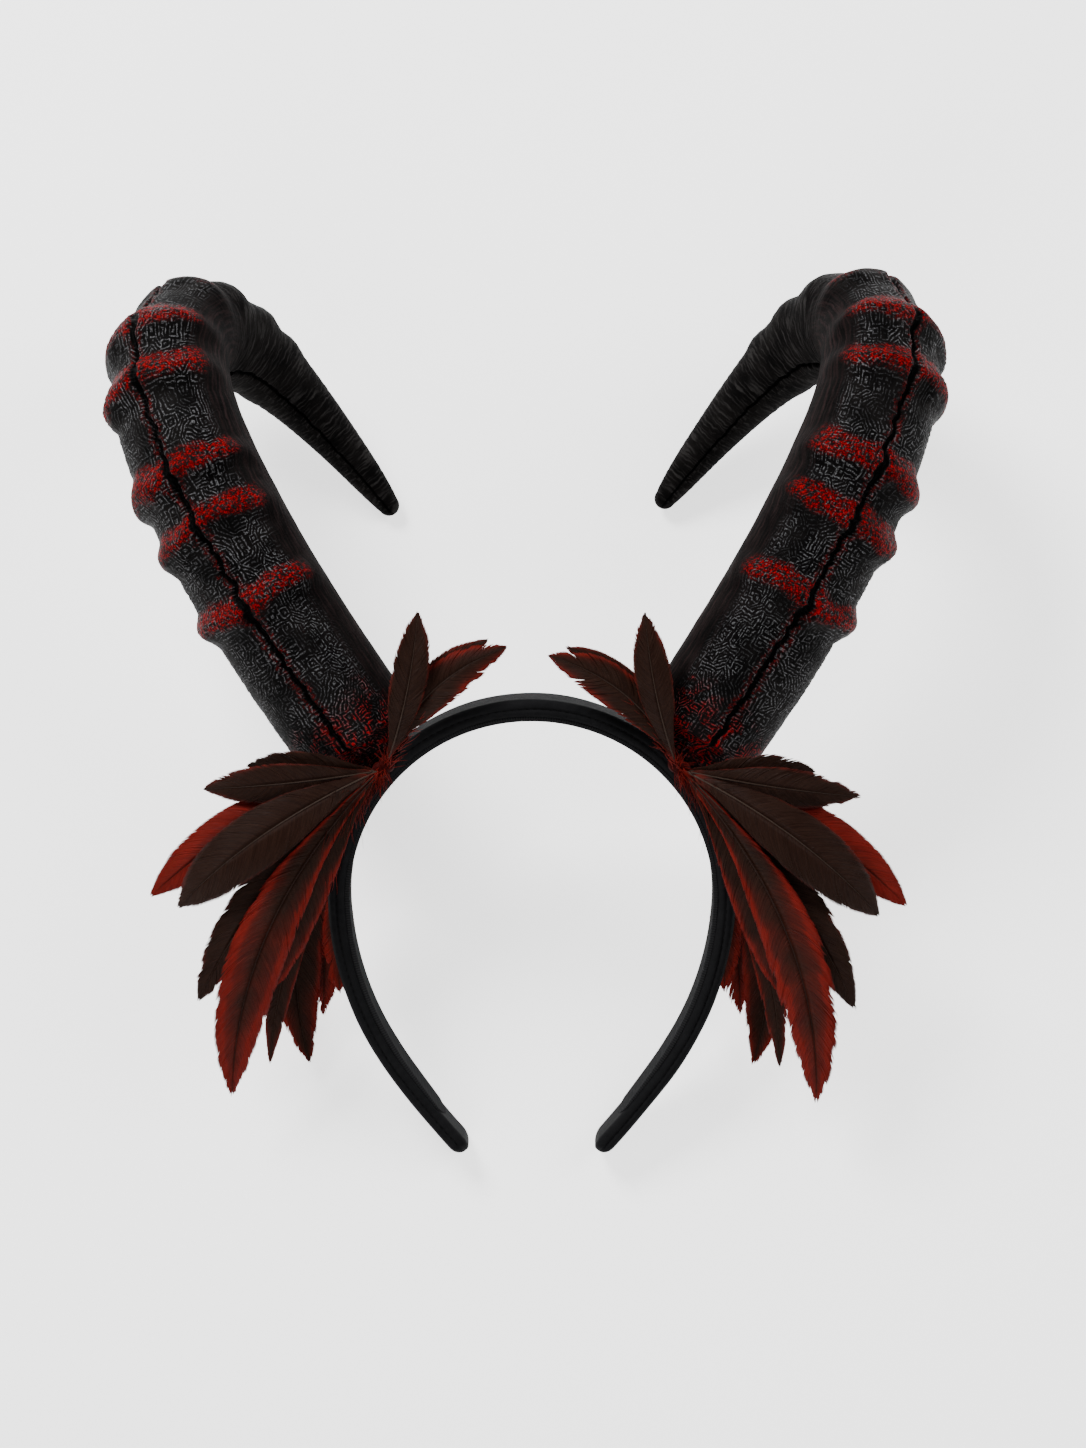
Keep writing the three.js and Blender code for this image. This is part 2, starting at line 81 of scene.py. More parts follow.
def inner_face(heading):
    """Points on the inner face of the lining"""
    turned = np.abs(heading)
    point = np.zeros(np.shape(turned) + (3,))
    centre, start, last = np.zeros(3), 0.0, CROWN_RADIUS
    for radius, degrees in BAND_ARCS:
        centre = centre + outward(start) * (last - radius)
        point = np.where((turned >= start)[..., None], centre + outward(turned) * radius, point)
        start, last = start + math.radians(degrees), radius
    point[..., 0] *= np.sign(heading)
    return point


def heading_along(distance):
    """Heading of points a distance from the top of the crown along the inner face"""
    sweeps = [0.0] + [math.radians(degrees) for _, degrees in BAND_ARCS]
    lengths = [0.0] + [radius * math.radians(degrees) for radius, degrees in BAND_ARCS]
    return np.sign(distance) * np.interp(np.abs(distance), np.cumsum(lengths), np.cumsum(sweeps))


def band_points(distance, out, back):
    """Points of the band: out is measured from the inner face, and back from the middle of the band"""
    heading = heading_along(distance)
    points = inner_face(heading) + outward(heading) * np.asarray(out)[..., None]
    points[..., 1] += back
    return points


def rounded_section(half_out, half_back, corner, spacing):
    """Points round a rounded rectangle from the middle of its front edge, the way each of them faces, and how far
    round it is, with the whole length last"""
    points, normals, distances = [], [], [0.0]
    place = np.array([0.0, -half_back])
    flat_out, flat_back = half_out - corner, half_back - corner
    for side, flat in enumerate([flat_out, 2 * flat_back, 2 * flat_out, 2 * flat_back, flat_out]):
        for length, bend in [(flat, 0), (corner * math.pi / 2, 1)][:2 if side < 4 else 1]:
            part = np.linspace(0, length, max(2, round(length / spacing)) + 1)
            turned = math.radians(90 * side - 90) + bend * part / corner
            normal = np.stack([np.cos(turned), np.sin(turned)], axis=-1)
            run = place + corner * (normal - normal[0])
            if not bend:
                run = place + part[:, None] * [-normal[0, 1], normal[0, 0]]
            points.extend(run[:-1])
            normals.extend(normal[:-1])
            distances.extend(distances[-1] + part[1:])
            place = run[-1]
    return np.array(points), np.array(normals), np.array(distances)


def on_cloth(along, round_it):
    """Where rows of points lie on the flat cloth, in millimetres along the band and round it"""
    return np.stack(np.broadcast_arrays(along[:, None], round_it[None, :]), axis=-1)


def skin(points, cloth=None):
    """A mesh through rows of points, closed round each row, with a fan over both ends"""
    rows, around = points.shape[:2]
    row, column = np.meshgrid(np.arange(rows - 1), np.arange(around), indexing="ij")
    right = (column + 1) % around
    quads = np.stack([row * around + column, row * around + right, (row + 1) * around + right,
                      (row + 1) * around + column], axis=-1).reshape(-1, 4)
    ring, tip = np.arange(around), rows * around
    fans = [np.stack([0 * ring + tip + i, first + ring, first + (ring + 1) % around], axis=-1)
            for i, first in enumerate([0, tip - around])]
    vertices = np.vstack([points.reshape(-1, 3), points[0].mean(axis=0), points[-1].mean(axis=0)])
    mesh = bpy.data.meshes.new("skin")
    mesh.from_pydata(vertices.tolist(), [], quads.tolist() + np.vstack(fans).tolist())
    if cloth is not None:
        corners = np.stack([cloth[row, column], cloth[row, column + 1], cloth[row + 1, column + 1],
                            cloth[row + 1, column]], axis=2)
        flat = np.zeros((len(mesh.loops), 2))
        flat[:corners.size // 2] = corners.reshape(-1, 2)
        mesh.uv_layers.new(name="cloth").data.foreach_set("uv", flat.ravel())
    return faced_out(mesh)


def faced_out(mesh):
    """Shades a closed mesh smoothly and turns its faces outwards"""
    work = bmesh.new()
    work.from_mesh(mesh)
    bmesh.ops.recalc_face_normals(work, faces=work.faces)
    for face in work.faces:
        face.smooth = True
    work.to_mesh(mesh)
    work.free()
    return mesh


def ripple(rng, u, v, sizes):
    """A soft irregular surface in -1 to 1, from waves of the given sizes"""
    total = 0 * (u + v)
    for size in sizes:
        angle, phase = rng.uniform(0, 2 * math.pi, 2)
        total = total + np.sin(2 * math.pi * (u * math.cos(angle) + v * math.sin(angle)) / size + phase)
    return total / len(sizes)


def ridge(distance, place, half_width):
    """A rounded ridge one high at a place"""
    return np.exp(-(((distance - place) / half_width) ** 2))


def put_on(name, mesh, replaced=()):
    """Lays a mesh that was made as worn in its place, and hides the solids it stands for"""
    mesh.transform(as_worn)
    for vertex in mesh.vertices:
        if vertex.co.z < 0:
            vertex.co.z = 0  # the satin lies flat on the table
    mesh.update()
    piece = bpy.data.objects.new(name, mesh)
    bpy.context.scene.collection.objects.link(piece)
    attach(piece, "root")
    if replaced:
        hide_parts(*replaced)
    return piece


COVER_ROWS = 980
TIP_ROWS = 13
SEAM_DEPTH, SEAM_HALF_WIDTH = 0.5, 0.42
FOLD_DEPTH, FOLD_HALF_WIDTH = 0.16, 0.45  # a shallow fold along the edge of the padding
PUCKER_HEIGHT, PUCKER_LENGTH = 0.1, 3.3
RIPPLE_HEIGHT = 0.13
section, section_normal, cover_round = rounded_section(COVER_THICKNESS / 2, BAND_WIDTH / 2, COVER_CORNER, 0.62)
round_distance = cover_round[:-1]
from_seam = np.minimum(round_distance, cover_round[-1] - round_distance)
to_fold = COVER_THICKNESS / 2 - COVER_CORNER + COVER_CORNER * math.pi / 4 + 0.6
tip_turn = np.linspace(0, 88, TIP_ROWS + 1)
straight = np.linspace(-HALF_BAND, HALF_BAND, COVER_ROWS)
end_rows = np.full(TIP_ROWS, HALF_BAND)
row_distance = np.concatenate([-end_rows, straight, end_rows])
row_turn = np.radians(np.concatenate([tip_turn[:0:-1], 0 * straight, tip_turn[1:]]))
past_end = TIP_LENGTH * np.sin(row_turn)
row_along = row_distance + np.sign(row_distance) * past_end
along, across, size = row_along[:, None], round_distance[None, :], np.cos(row_turn)[:, None]
rng = np.random.default_rng(4)
pucker = np.sin(2 * math.pi * along / PUCKER_LENGTH + 1.6 * ripple(rng, along, across, [17, 23, 11]))
relief = (
    PUCKER_HEIGHT * pucker * ridge(from_seam, 1.5, 1.0)
    - SEAM_DEPTH * ridge(from_seam, 0, SEAM_HALF_WIDTH)
    - FOLD_DEPTH * ridge(round_distance, to_fold, FOLD_HALF_WIDTH)
    + RIPPLE_HEIGHT * ripple(rng, along, across, [31, 19, 47])
) * size
local = section[None] * size[..., None] + section_normal[None] * relief[..., None]
cover_points = band_points(row_distance[:, None] + 0 * relief, BAND_MIDDLE + local[..., 0], local[..., 1])
tip_way = outward(heading_along(row_distance) + np.sign(row_distance) * math.pi / 2)
cover_points += (tip_way * past_end[:, None])[:, None, :]
cover_mesh = skin(cover_points, on_cloth(row_along, cover_round))


def is_vector(value):
    return isinstance(value, tuple) or (isinstance(value, Wire) and value.socket.type in ("VECTOR", "RGBA"))


def overloaded(operation):
    """An operator and its reflected form"""
    return (lambda self, other: self.worked(operation, self, other),
            lambda self, other: self.worked(operation, other, self))


class Wire:
    """The output of a node: arithmetic on it adds Math nodes, or Vector Math nodes where a vector takes part"""

    def __init__(self, tree, socket):
        self.tree = tree
        self.socket = socket

    def worked(self, operation, first, second=0.0):
        vectors = is_vector(first) + is_vector(second)
        if not vectors:
            return self.tree.add("ShaderNodeMath", {"operation": operation}, {0: first, 1: second})
        if operation == "MULTIPLY" and vectors == 1:
            vector, number = (first, second) if is_vector(first) else (second, first)
            return self.tree.add("ShaderNodeVectorMath", {"operation": "SCALE"}, {0: vector, "Scale": number})
        return self.tree.add("ShaderNodeVectorMath", {"operation": operation}, {0: first, 1: second})

    __add__, __radd__ = overloaded("ADD")
    __sub__, __rsub__ = overloaded("SUBTRACT")
    __mul__, __rmul__ = overloaded("MULTIPLY")
    __truediv__, __rtruediv__ = overloaded("DIVIDE")
    __pow__, __rpow__ = overloaded("POWER")
    __mod__, __rmod__ = overloaded("FLOORED_MODULO")

    def math(self, operation, other=0.0):
        return self.worked(operation, self, other)

    def cross(self, other):
        return self.worked("CROSS_PRODUCT", self, other)

    def unit(self):
        return self.tree.add("ShaderNodeVectorMath", {"operation": "NORMALIZE"}, {0: self})

    def length(self):
        return self.tree.add("ShaderNodeVectorMath", {"operation": "LENGTH"}, {0: self}, "Value")

    def parts(self):
        """A vector's X, whose node has Y and Z too"""
        return self.tree.add("ShaderNodeSeparateXYZ", {}, {"Vector": self})

    def also(self, output):
        """Another output of the same node"""
        return Wire(self.tree, self.socket.node.outputs[output])

    def smooth(self, low, high):
        """0 below low, 1 above high and smooth between"""
        return self.tree.add("ShaderNodeMapRange", {"interpolation_type": "SMOOTHSTEP"},
                             {"Value": self, "From Min": low, "From Max": high})


class Tree:
    """A node tree that is filled node by node"""

    def __init__(self, tree):
        self.tree = tree

    def add(self, kind, settings, inputs, output=0):
        """Adds a node with its settings first, then its inputs, and returns one of its outputs"""
        node = self.tree.nodes.new(kind)
        for name, value in settings.items():
            if name == "points":
                curve = node.mapping.curves[0]
                while len(curve.points) < len(value):
                    curve.points.new(0.5, 0.5)
                for point, place in zip(curve.points, value):
                    point.location = place
                node.mapping.update()
            else:
                setattr(node, name, value)
        for name, value in inputs.items():
            for one in value if isinstance(value, list) else [value]:
                if isinstance(one, Wire):
                    self.tree.links.new(one.socket, node.inputs[name])
                else:
                    node.inputs[name].default_value = one
        return Wire(self, node.outputs[output]) if len(node.outputs) else None

    def noise(self, vector, scale, detail=2.0, output="Fac", **more):
        return self.add("ShaderNodeTexNoise", {}, {"Vector": vector, "Scale": scale, "Detail": detail, **more}, output)

    def line_noise(self, place, **more):
        return self.add("ShaderNodeTexNoise", {"noise_dimensions": "1D"}, {"W": place, **more})

    def mix(self, factor, first, second):
        """A colour between two"""
        one, two = ((*colour, 1) if isinstance(colour, tuple) else colour for colour in (first, second))
        return self.add("ShaderNodeMix", {"data_type": "RGBA"}, {0: factor, 6: one, 7: two}, 2)

    def vector(self, x, y, z=0.0):
        return self.add("ShaderNodeCombineXYZ", {}, {0: x, 1: y, 2: z})

    def place(self):
        """Where the surface is, in metres on the object"""
        return self.add("ShaderNodeTexCoord", {}, {}, "Object")

    def attribute(self, name, output="Fac"):
        return self.add("ShaderNodeAttribute", {"attribute_name": name}, {}, output)

    def surface(self, bump=None, **sockets):
        """A Principled surface, with its inputs by name"""
        inputs = {name.replace("_", " "): value for name, value in sockets.items()}
        if bump:
            height, distance = bump
            inputs["Normal"] = self.add("ShaderNodeBump", {}, {
                "Height": height, "Distance": distance, "Strength": 1.0})
        shader = self.add("ShaderNodeBsdfPrincipled", {}, inputs)
        self.add("ShaderNodeOutputMaterial", {}, {"Surface": shader})


def new_material(name):
    material = bpy.data.materials.new(name)
    material.use_nodes = True
    material.node_tree.nodes.clear()
    return material, Tree(material.node_tree)


satin, t = new_material("black_satin")
cloth_place = t.add("ShaderNodeUVMap", {"uv_map": "cloth"}, {})
along_thread = t.add("ShaderNodeMapping", {}, {"Vector": cloth_place, "Scale": (0.35, 5.0, 1.0)})
slub = t.noise(along_thread, 1.0, 3.0)
nap = t.noise(cloth_place, 0.16)
t.surface(
    Base_Color=t.mix(nap, (0.006, 0.006, 0.0064), (0.011, 0.011, 0.0117)),
    Roughness=0.42 + 0.16 * slub,
    Specular_IOR_Level=0.005,
    bump=(slub, 0.00004),
)
cover_mesh.materials.append(satin)
cover = put_on("band_cover", cover_mesh, ["band"])


# Seam thread: short stitches of black thread that close the satin along the front edge of the band, sunk in the
# seam. One tree lays a stitch at each step of the seam's line.
def growing_tree(name, sizes):
    """A geometry tree with an input for each named size and for a material, which starts from the carrier's mesh"""
    group = bpy.data.node_groups.new(name, "GeometryNodeTree")
    for way in ("OUTPUT", "INPUT"):
        group.interface.new_socket("Geometry", in_out=way, socket_type="NodeSocketGeometry")
    kinds = {int: "NodeSocketInt", float: "NodeSocketFloat", tuple: "NodeSocketVector"}
    for label, value in sizes.items():
        socket = group.interface.new_socket(label, in_out="INPUT", socket_type=kinds[type(value)])
        socket.default_value = value
    group.interface.new_socket("Material", in_out="INPUT", socket_type="NodeSocketMaterial")
    tree = Tree(group)
    return group, tree, tree.add("NodeGroupInput", {}, {})


def close_tree(tree, geometry, given):
    """Ends a tree: what it grew becomes plain geometry with its material"""
    real = tree.add("GeometryNodeRealizeInstances", {}, {"Geometry": geometry})
    smooth = tree.add("GeometryNodeSetShadeSmooth", {}, {"Geometry": real})
    finished = tree.add("GeometryNodeSetMaterial", {}, {"Geometry": smooth, "Material": given.also("Material")})
    tree.add("NodeGroupOutput", {}, {"Geometry": finished})


def grow(group, points, material, sizes, edges=None, columns=None):
    """Runs a tree on a line of points, which may carry columns of numbers or vectors, and returns what it grew"""
    carrier_mesh = bpy.data.meshes.new("carrier")
    line = [(i, i + 1) for i in range(len(points) - 1)] if edges is None else edges
    carrier_mesh.from_pydata([tuple(p) for p in points], line, [])
    for name, column in (columns or {}).items():
        column = np.asarray(column, float)
        kind, field = ("FLOAT_VECTOR", "vector") if column.ndim == 2 else ("FLOAT", "value")
        carrier_mesh.attributes.new(name, kind, "POINT").data.foreach_set(field, column.ravel())
    carrier = bpy.data.objects.new("carrier", carrier_mesh)
    bpy.context.scene.collection.objects.link(carrier)
    modifier = carrier.modifiers.new("grow", "NODES")
    modifier.node_group = group
    values = {"Material": material, **sizes}
    for item in group.interface.items_tree:
        if item.in_out == "INPUT" and item.name in values:
            modifier[item.identifier] = values[item.name]
    state = bpy.context.evaluated_depsgraph_get()
    grown = bpy.data.meshes.new_from_object(carrier.evaluated_get(state), depsgraph=state)
    carrier.modifiers.clear()
    bpy.data.objects.remove(carrier)
    return grown


stitching, t, given = growing_tree("stitching", {"Stitch length": 1.7, "Stitch pitch": 2.6, "Thread": 0.17})
seam_line = t.add("GeometryNodeMeshToCurve", {}, {"Mesh": given})
spaced = t.add("GeometryNodeResampleCurve", {"mode": "LENGTH"}, {
    "Curve": seam_line, "Length": given.also("Stitch pitch")})
stitch = t.add("GeometryNodeMeshUVSphere", {}, {"Segments": 6, "Rings": 5, "Radius": 1.0})
turned = t.add("FunctionNodeAlignRotationToVector", {"axis": "X"}, {
    "Vector": t.add("GeometryNodeInputTangent", {}, {})})
thread = given.also("Thread")
stitches = t.add("GeometryNodeInstanceOnPoints", {}, {
    "Points": spaced, "Instance": stitch, "Rotation": turned,
    "Scale": t.vector(given.also("Stitch length") * 0.5, thread, thread)})
close_tree(t, stitches, given)

black_thread, t = new_material("black_thread")
t.surface(Base_Color=t.mix(t.noise(t.place(), 3000.0), (0.003, 0.003, 0.003), (0.006, 0.006, 0.006)),
          Roughness=0.7, Specular_IOR_Level=0.02)
seam_distance = np.linspace(-HALF_BAND, HALF_BAND, 400)
seam_points = band_points(seam_distance, BAND_MIDDLE + 0 * seam_distance, 0.4 - BAND_WIDTH / 2)
put_on("seam_thread", grow(stitching, seam_points, black_thread, {}))

# Ribbon lining: a flat matt grosgrain ribbon glued along the inner face of the band. It is a little narrower than
# the band, and stops short of both tips.
LINING_WIDTH = 13.0
LINING_MARGIN = 9.0
GLUED_THICKNESS = LINING_THICKNESS + TOUCH_GAP + 0.2  # with the glue between the ribbon and the satin
ribbon_section, _, ribbon_round = rounded_section(GLUED_THICKNESS / 2, LINING_WIDTH / 2, 0.35, 0.7)
ribbon_distance = np.linspace(-HALF_BAND + LINING_MARGIN, HALF_BAND - LINING_MARGIN, 420)
from_end = HALF_BAND - LINING_MARGIN - np.abs(ribbon_distance[:, None])
thinned = np.sqrt(np.clip(from_end / 30, 0.02, 1))  # pressed thin and rounded at both ends
narrowed = np.sqrt(np.clip(from_end / 4, 0.02, 1))
ribbon_points = band_points(
    ribbon_distance[:, None] + 0 * ribbon_round[:-1],
    GLUED_THICKNESS * (1 - thinned / 2) + thinned * ribbon_section[:, 0], ribbon_section[:, 1] * narrowed)
ribbon_mesh = skin(ribbon_points, on_cloth(ribbon_distance, ribbon_round))
grosgrain, t = new_material("black_grosgrain")
cloth_place = t.add("ShaderNodeUVMap", {"uv_map": "cloth"}, {})
RIB_PITCH = 0.85
ribs = (cloth_place.parts() * (2 * math.pi / RIB_PITCH)).math("SINE") * 0.5 + 0.5
fibre = t.noise(cloth_place, 2.2, 3.0)
t.surface(
    Base_Color=t.mix(ribs * 0.6 + fibre * 0.4, (0.008, 0.008, 0.0085), (0.022, 0.022, 0.023)),
    Roughness=0.82 + 0.12 * fibre,
    Specular_IOR_Level=0.01,
    bump=(ribs + 0.4 * fibre, 0.00008),
)
ribbon_mesh.materials.append(grosgrain)
put_on("ribbon_lining", ribbon_mesh, ["band_lining"])

# Horns: moulded foam, painted black and dry-brushed with red on the rings and at the root. The two halves of the
# mould met in a rough parting groove. Each horn narrows to a foot that is glued on the outer face of the band.
HORN_ANGLE = 47.0
HORN_TILT = 34.6
HORN_LENGTH = 281.0
HORN_HALF_WIDTH = 23.5
HORN_HALF_DEPTH = 20.0
HORN_SET_BACK = 6.0
CURL_TURN_IN = 25.0
FOOT_HEIGHT = 11.5
FOOT_HALF_WIDTH = 15.0
FOOT_HALF_DEPTH = 7.5
HORN_FOOT = [(0.0, 0.0), (0.12, 0.3), (0.45, 0.75), (1.5, 1.0)]  # depth below the root, narrowed
HORN_BEND = [  # share of the length, degrees turned
    (0.0, 0), (0.2, 8), (0.32, 17), (0.42, 30), (0.48, 45), (0.54, 67), (0.6, 98), (0.66, 131), (0.72, 153),
    (0.8, 168), (0.9, 176), (1.0, 182),
]
HORN_WIDTH = [  # share of the length, share of the root's
    (0.0, 1.0), (0.12, 1.0), (0.3, 0.97), (0.4, 0.93), (0.5, 0.89), (0.58, 0.83), (0.66, 0.72), (0.73, 0.59),
    (0.8, 0.455), (0.87, 0.345), (0.94, 0.25), (0.975, 0.18), (1.0, 0.1),
]
HORN_DEPTH = [
    (0.0, 0.82), (0.12, 0.88), (0.3, 0.98), (0.4, 1.0), (0.5, 0.98), (0.58, 0.92), (0.66, 0.81), (0.73, 0.66),
    (0.8, 0.52), (0.87, 0.4), (0.94, 0.275), (0.975, 0.2), (1.0, 0.11),
]
RING_HALF_LENGTH = 7.5
HORN_RINGS = [  # share of the length, height as a share of the tallest, share of red paint
    (0.199, 0.98, 0.9), (0.297, 0.94, 1.0), (0.362, 1.0, 1.0), (0.472, 1.0, 1.0), (0.532, 0.9, 0.8),
    (0.6, 0.8, 0.45), (0.65, 0.6, 0.0), (0.7, 0.4, 0.0), (0.75, 0.25, 0.0),
]
PAINT_SHIFT = 2.0  # the brush caught the side of each ring that faces the tip
PAINT_HALF_LENGTH = 7.0


def along_table(rows, share):
    """A smooth curve through a table's rows"""
    places, values = np.array(rows, float).T
    slopes = np.gradient(values, places)
    last = len(rows) - 1
    slopes[1:last] = (values[2:] - values[:-2]) / (places[2:] - places[:-2])
    above = np.clip(np.searchsorted(places, share, side="right"), 1, last)
    span = places[above] - places[above - 1]
    t = np.clip((share - places[above - 1]) / span, 0, 1)
    return (
        (2 * t**3 - 3 * t**2 + 1) * values[above - 1] + (t**3 - 2 * t**2 + t) * span * slopes[above - 1]
        + (3 * t**2 - 2 * t**3) * values[above] + (t**3 - t**2) * span * slopes[above]
    )


def opened(vectors, share, degrees):
    """Turns the left horn's directions outwards past its third, by some degrees at its curl"""
    turn = math.radians(degrees) * np.clip((share - 0.3) / 0.25, 0, 1)
    x, y, z = vectors.T
    return np.stack([x * np.cos(turn) - z * np.sin(turn), y, x * np.sin(turn) + z * np.cos(turn)], axis=-1)


def horn_rows(count, degrees):
    """Rows of the left horn from its foot to its tip: their middles, two half axes, ring, paint and share"""
    root_up = outward(math.radians(-HORN_TILT))
    turn_in = math.radians(CURL_TURN_IN)
    curl_way = outward(math.radians(90 - HORN_TILT)) * math.sin(turn_in) + [0, math.cos(turn_in), 0]
    outside = np.cross(root_up, curl_way)
    set_back = np.array([0, HORN_SET_BACK, 0])
    root = outward(math.radians(-HORN_ANGLE)) * (CROWN_RADIUS + BAND_OUTER + FOOT_HEIGHT) + set_back
    steps = 400
    turned = np.radians(along_table(HORN_BEND, (np.arange(steps) + 0.5) / steps))[:, None]
    spine_share = np.linspace(0, 1, steps + 1)
    spine_way = opened(root_up * np.cos(turned) + curl_way * np.sin(turned), spine_share[1:], degrees)
    spine = np.vstack([root, root + np.cumsum(spine_way, axis=0) * (HORN_LENGTH / steps)])

    foot_rows, cap_rows, tip_rows = 26, 8, 8
    share = np.linspace(0, 0.98, count - foot_rows - cap_rows - tip_rows)
    middle = np.stack([np.interp(share, spine_share, spine[:, axis]) for axis in range(3)], axis=-1)
    turned = np.radians(along_table(HORN_BEND, share))[:, None]
    half_depth = HORN_HALF_DEPTH * along_table(HORN_DEPTH, share)[:, None]
    half_width = HORN_HALF_WIDTH * along_table(HORN_WIDTH, share)[:, None]
    deep = opened(root_up * np.sin(turned) - curl_way * np.cos(turned), share, degrees) * half_depth
    wide = opened(outside + 0 * deep, share, degrees) * half_width
    ring, paint = 0 * share, 0 * share
    for place, height, red in HORN_RINGS:
        past = (share - place) * HORN_LENGTH
        ring += height * np.cos(np.clip(past / RING_HALF_LENGTH, -1, 1) * math.pi / 2) ** 2
        paint += red * np.cos(np.clip((past - PAINT_SHIFT) / PAINT_HALF_LENGTH, -1, 1) * math.pi / 2) ** 2

    depth = np.concatenate([np.full(cap_rows, 1.5), np.linspace(1.5, 0, foot_rows, endpoint=False)])
    thinner = along_table(HORN_FOOT, depth)[:, None]
    axes = 1 + thinner * [FOOT_HALF_WIDTH / HORN_HALF_WIDTH - 1, FOOT_HALF_DEPTH / HORN_HALF_DEPTH - 1,
                          FOOT_HALF_WIDTH / HORN_HALF_WIDTH - 1]
    axes *= np.concatenate([np.linspace(0, 1, cap_rows, endpoint=False), np.ones(foot_rows)])[:, None]
    foot_middle = root - (root_up * FOOT_HEIGHT + set_back) * depth[:, None]
    angle = np.radians(np.linspace(0, 90, tip_rows + 1)[1:])[:, None]
    tip_way = (middle[-1] - middle[-2]) / np.linalg.norm(middle[-1] - middle[-2])
    tip_middle = middle[-1] + tip_way * np.linalg.norm(wide[-1]) * np.sin(angle)
    return {
        "middle": np.vstack([foot_middle, middle, tip_middle]),
        "deep": np.vstack([deep[0] * axes, deep, deep[-1] * np.cos(angle)]),
        "wide": np.vstack([wide[0] * axes, wide, wide[-1] * np.cos(angle)]),
        "ring": np.concatenate([0 * depth, ring, 0 * angle[:, 0]]),
        "paint": np.concatenate([0 * depth, paint, 0 * angle[:, 0]]),
        "share": np.concatenate([-0.06 * depth, share, 1 + 0 * angle[:, 0]]),
    }


HORN_ROWS = 520
horn_skin, t, given = growing_tree("horn_skin", {
    "Rows": HORN_ROWS, "Columns": 150, "Ring height": 3.8, "Groove depth": 2.0, "Groove half width": 2.3,
    "Seam turn": -10.0, "Tip turn": 24.0, "Crackle": 0.42, "Grain": 0.16, "Foot seat": CROWN_RADIUS + BAND_OUTER,
    "Seed": 0.0})
columns = given.also("Columns")
net = t.add("GeometryNodeMeshGrid", {}, {
    "Size X": 1.0, "Size Y": 1.0, "Vertices X": given.also("Rows"), "Vertices Y": columns + 1})
corner = t.add("GeometryNodeInputIndex", {}, {})
row = (corner / (columns + 1)).math("FLOOR")
round_share = (corner - row * (columns + 1)) / columns


def named(name, kind="FLOAT"):
    """An attribute by its name"""
    return t.add("GeometryNodeInputNamedAttribute", {"data_type": kind}, {"Name": name})


def stored(geometry, name, value, domain="POINT"):
    """The geometry with a value kept under a name"""
    kind = "FLOAT_VECTOR" if is_vector(value) else "FLOAT"
    return t.add("GeometryNodeStoreNamedAttribute", {"data_type": kind, "domain": domain},
                 {"Geometry": geometry, "Name": name, "Value": value})


def moved_to(geometry, position):
    return t.add("GeometryNodeSetPosition", {}, {"Geometry": geometry, "Position": position})


def from_row(name, index, kind="FLOAT"):
    """What the points of the carrier say at an index"""
    value = t.add("GeometryNodeInputPosition", {}, {}) if name == "position" else named(name, kind)
    return t.add("GeometryNodeSampleIndex", {"data_type": kind, "domain": "POINT"},
                 {"Geometry": given, "Value": value, "Index": index})


DEGREE = math.pi / 180
seam_angle = given.also("Seam turn") * DEGREE
even = round_share * (2 * math.pi)
angle = even - ((even - seam_angle) * 2).math("SINE") * 0.2
middle, deep, wide = (from_row(name, row, "FLOAT_VECTOR") for name in ("position", "deep", "wide"))
share = from_row("share", row)
direction = deep * angle.math("COSINE") + wide * angle.math("SINE")
base = middle + direction
girth = direction.length()
stoutness = girth / HORN_HALF_WIDTH
seed = given.also("Seed")
shifted = base + t.vector(seed * 71.3, seed * 17.9)
# The rings wander along the horn
wander = (t.noise(shifted, 0.045) - 0.5) * (9.0 / HORN_LENGTH * HORN_ROWS)
ring_row = row + wander
low_row = ring_row.math("FLOOR")
ring, paint = (
    from_row(name, low_row) * (1 - ring_row + low_row) + from_row(name, low_row + 1) * (ring_row - low_row)
    for name in ("ring", "paint"))


def wrapped(value):
    """An angle in -pi to pi"""
    return value.math("SINE").math("ARCTAN2", value.math("COSINE"))


ring_side = wrapped(angle - 18 * DEGREE).math("ABSOLUTE")
ring_shown = 1 - ring_side.smooth(72 * DEGREE, 135 * DEGREE)
front = 1 - ring_side.smooth(66 * DEGREE, 108 * DEGREE)
along_horn = share * HORN_LENGTH
# The parting groove is jagged, opens and closes, and turns at the curl
jag = t.line_noise(along_horn * 0.045 + seed * 9, Detail=2.0, Roughness=0.35)
seam_path = seam_angle + (jag - 0.5) * 0.14 + given.also("Tip turn") * DEGREE * share.smooth(0.56, 0.72)
from_groove = wrapped((angle - seam_path) * 2).math("ABSOLUTE") * 0.5 * girth
opening = t.line_noise(along_horn * 0.2 + seed * 5, Detail=1.0)
groove_width = given.also("Groove half width") * (0.4 + 0.6 * stoutness) * (0.35 + 0.7 * opening + 0.4 * ring)
groove_share = from_groove / groove_width
groove = 1 - groove_share.smooth(0.0, 1.0)
groove_edge = (1 - groove_share.smooth(1.0, 3.2)) * (1 - groove)
groove = groove * share.smooth(-0.02, 0.005)
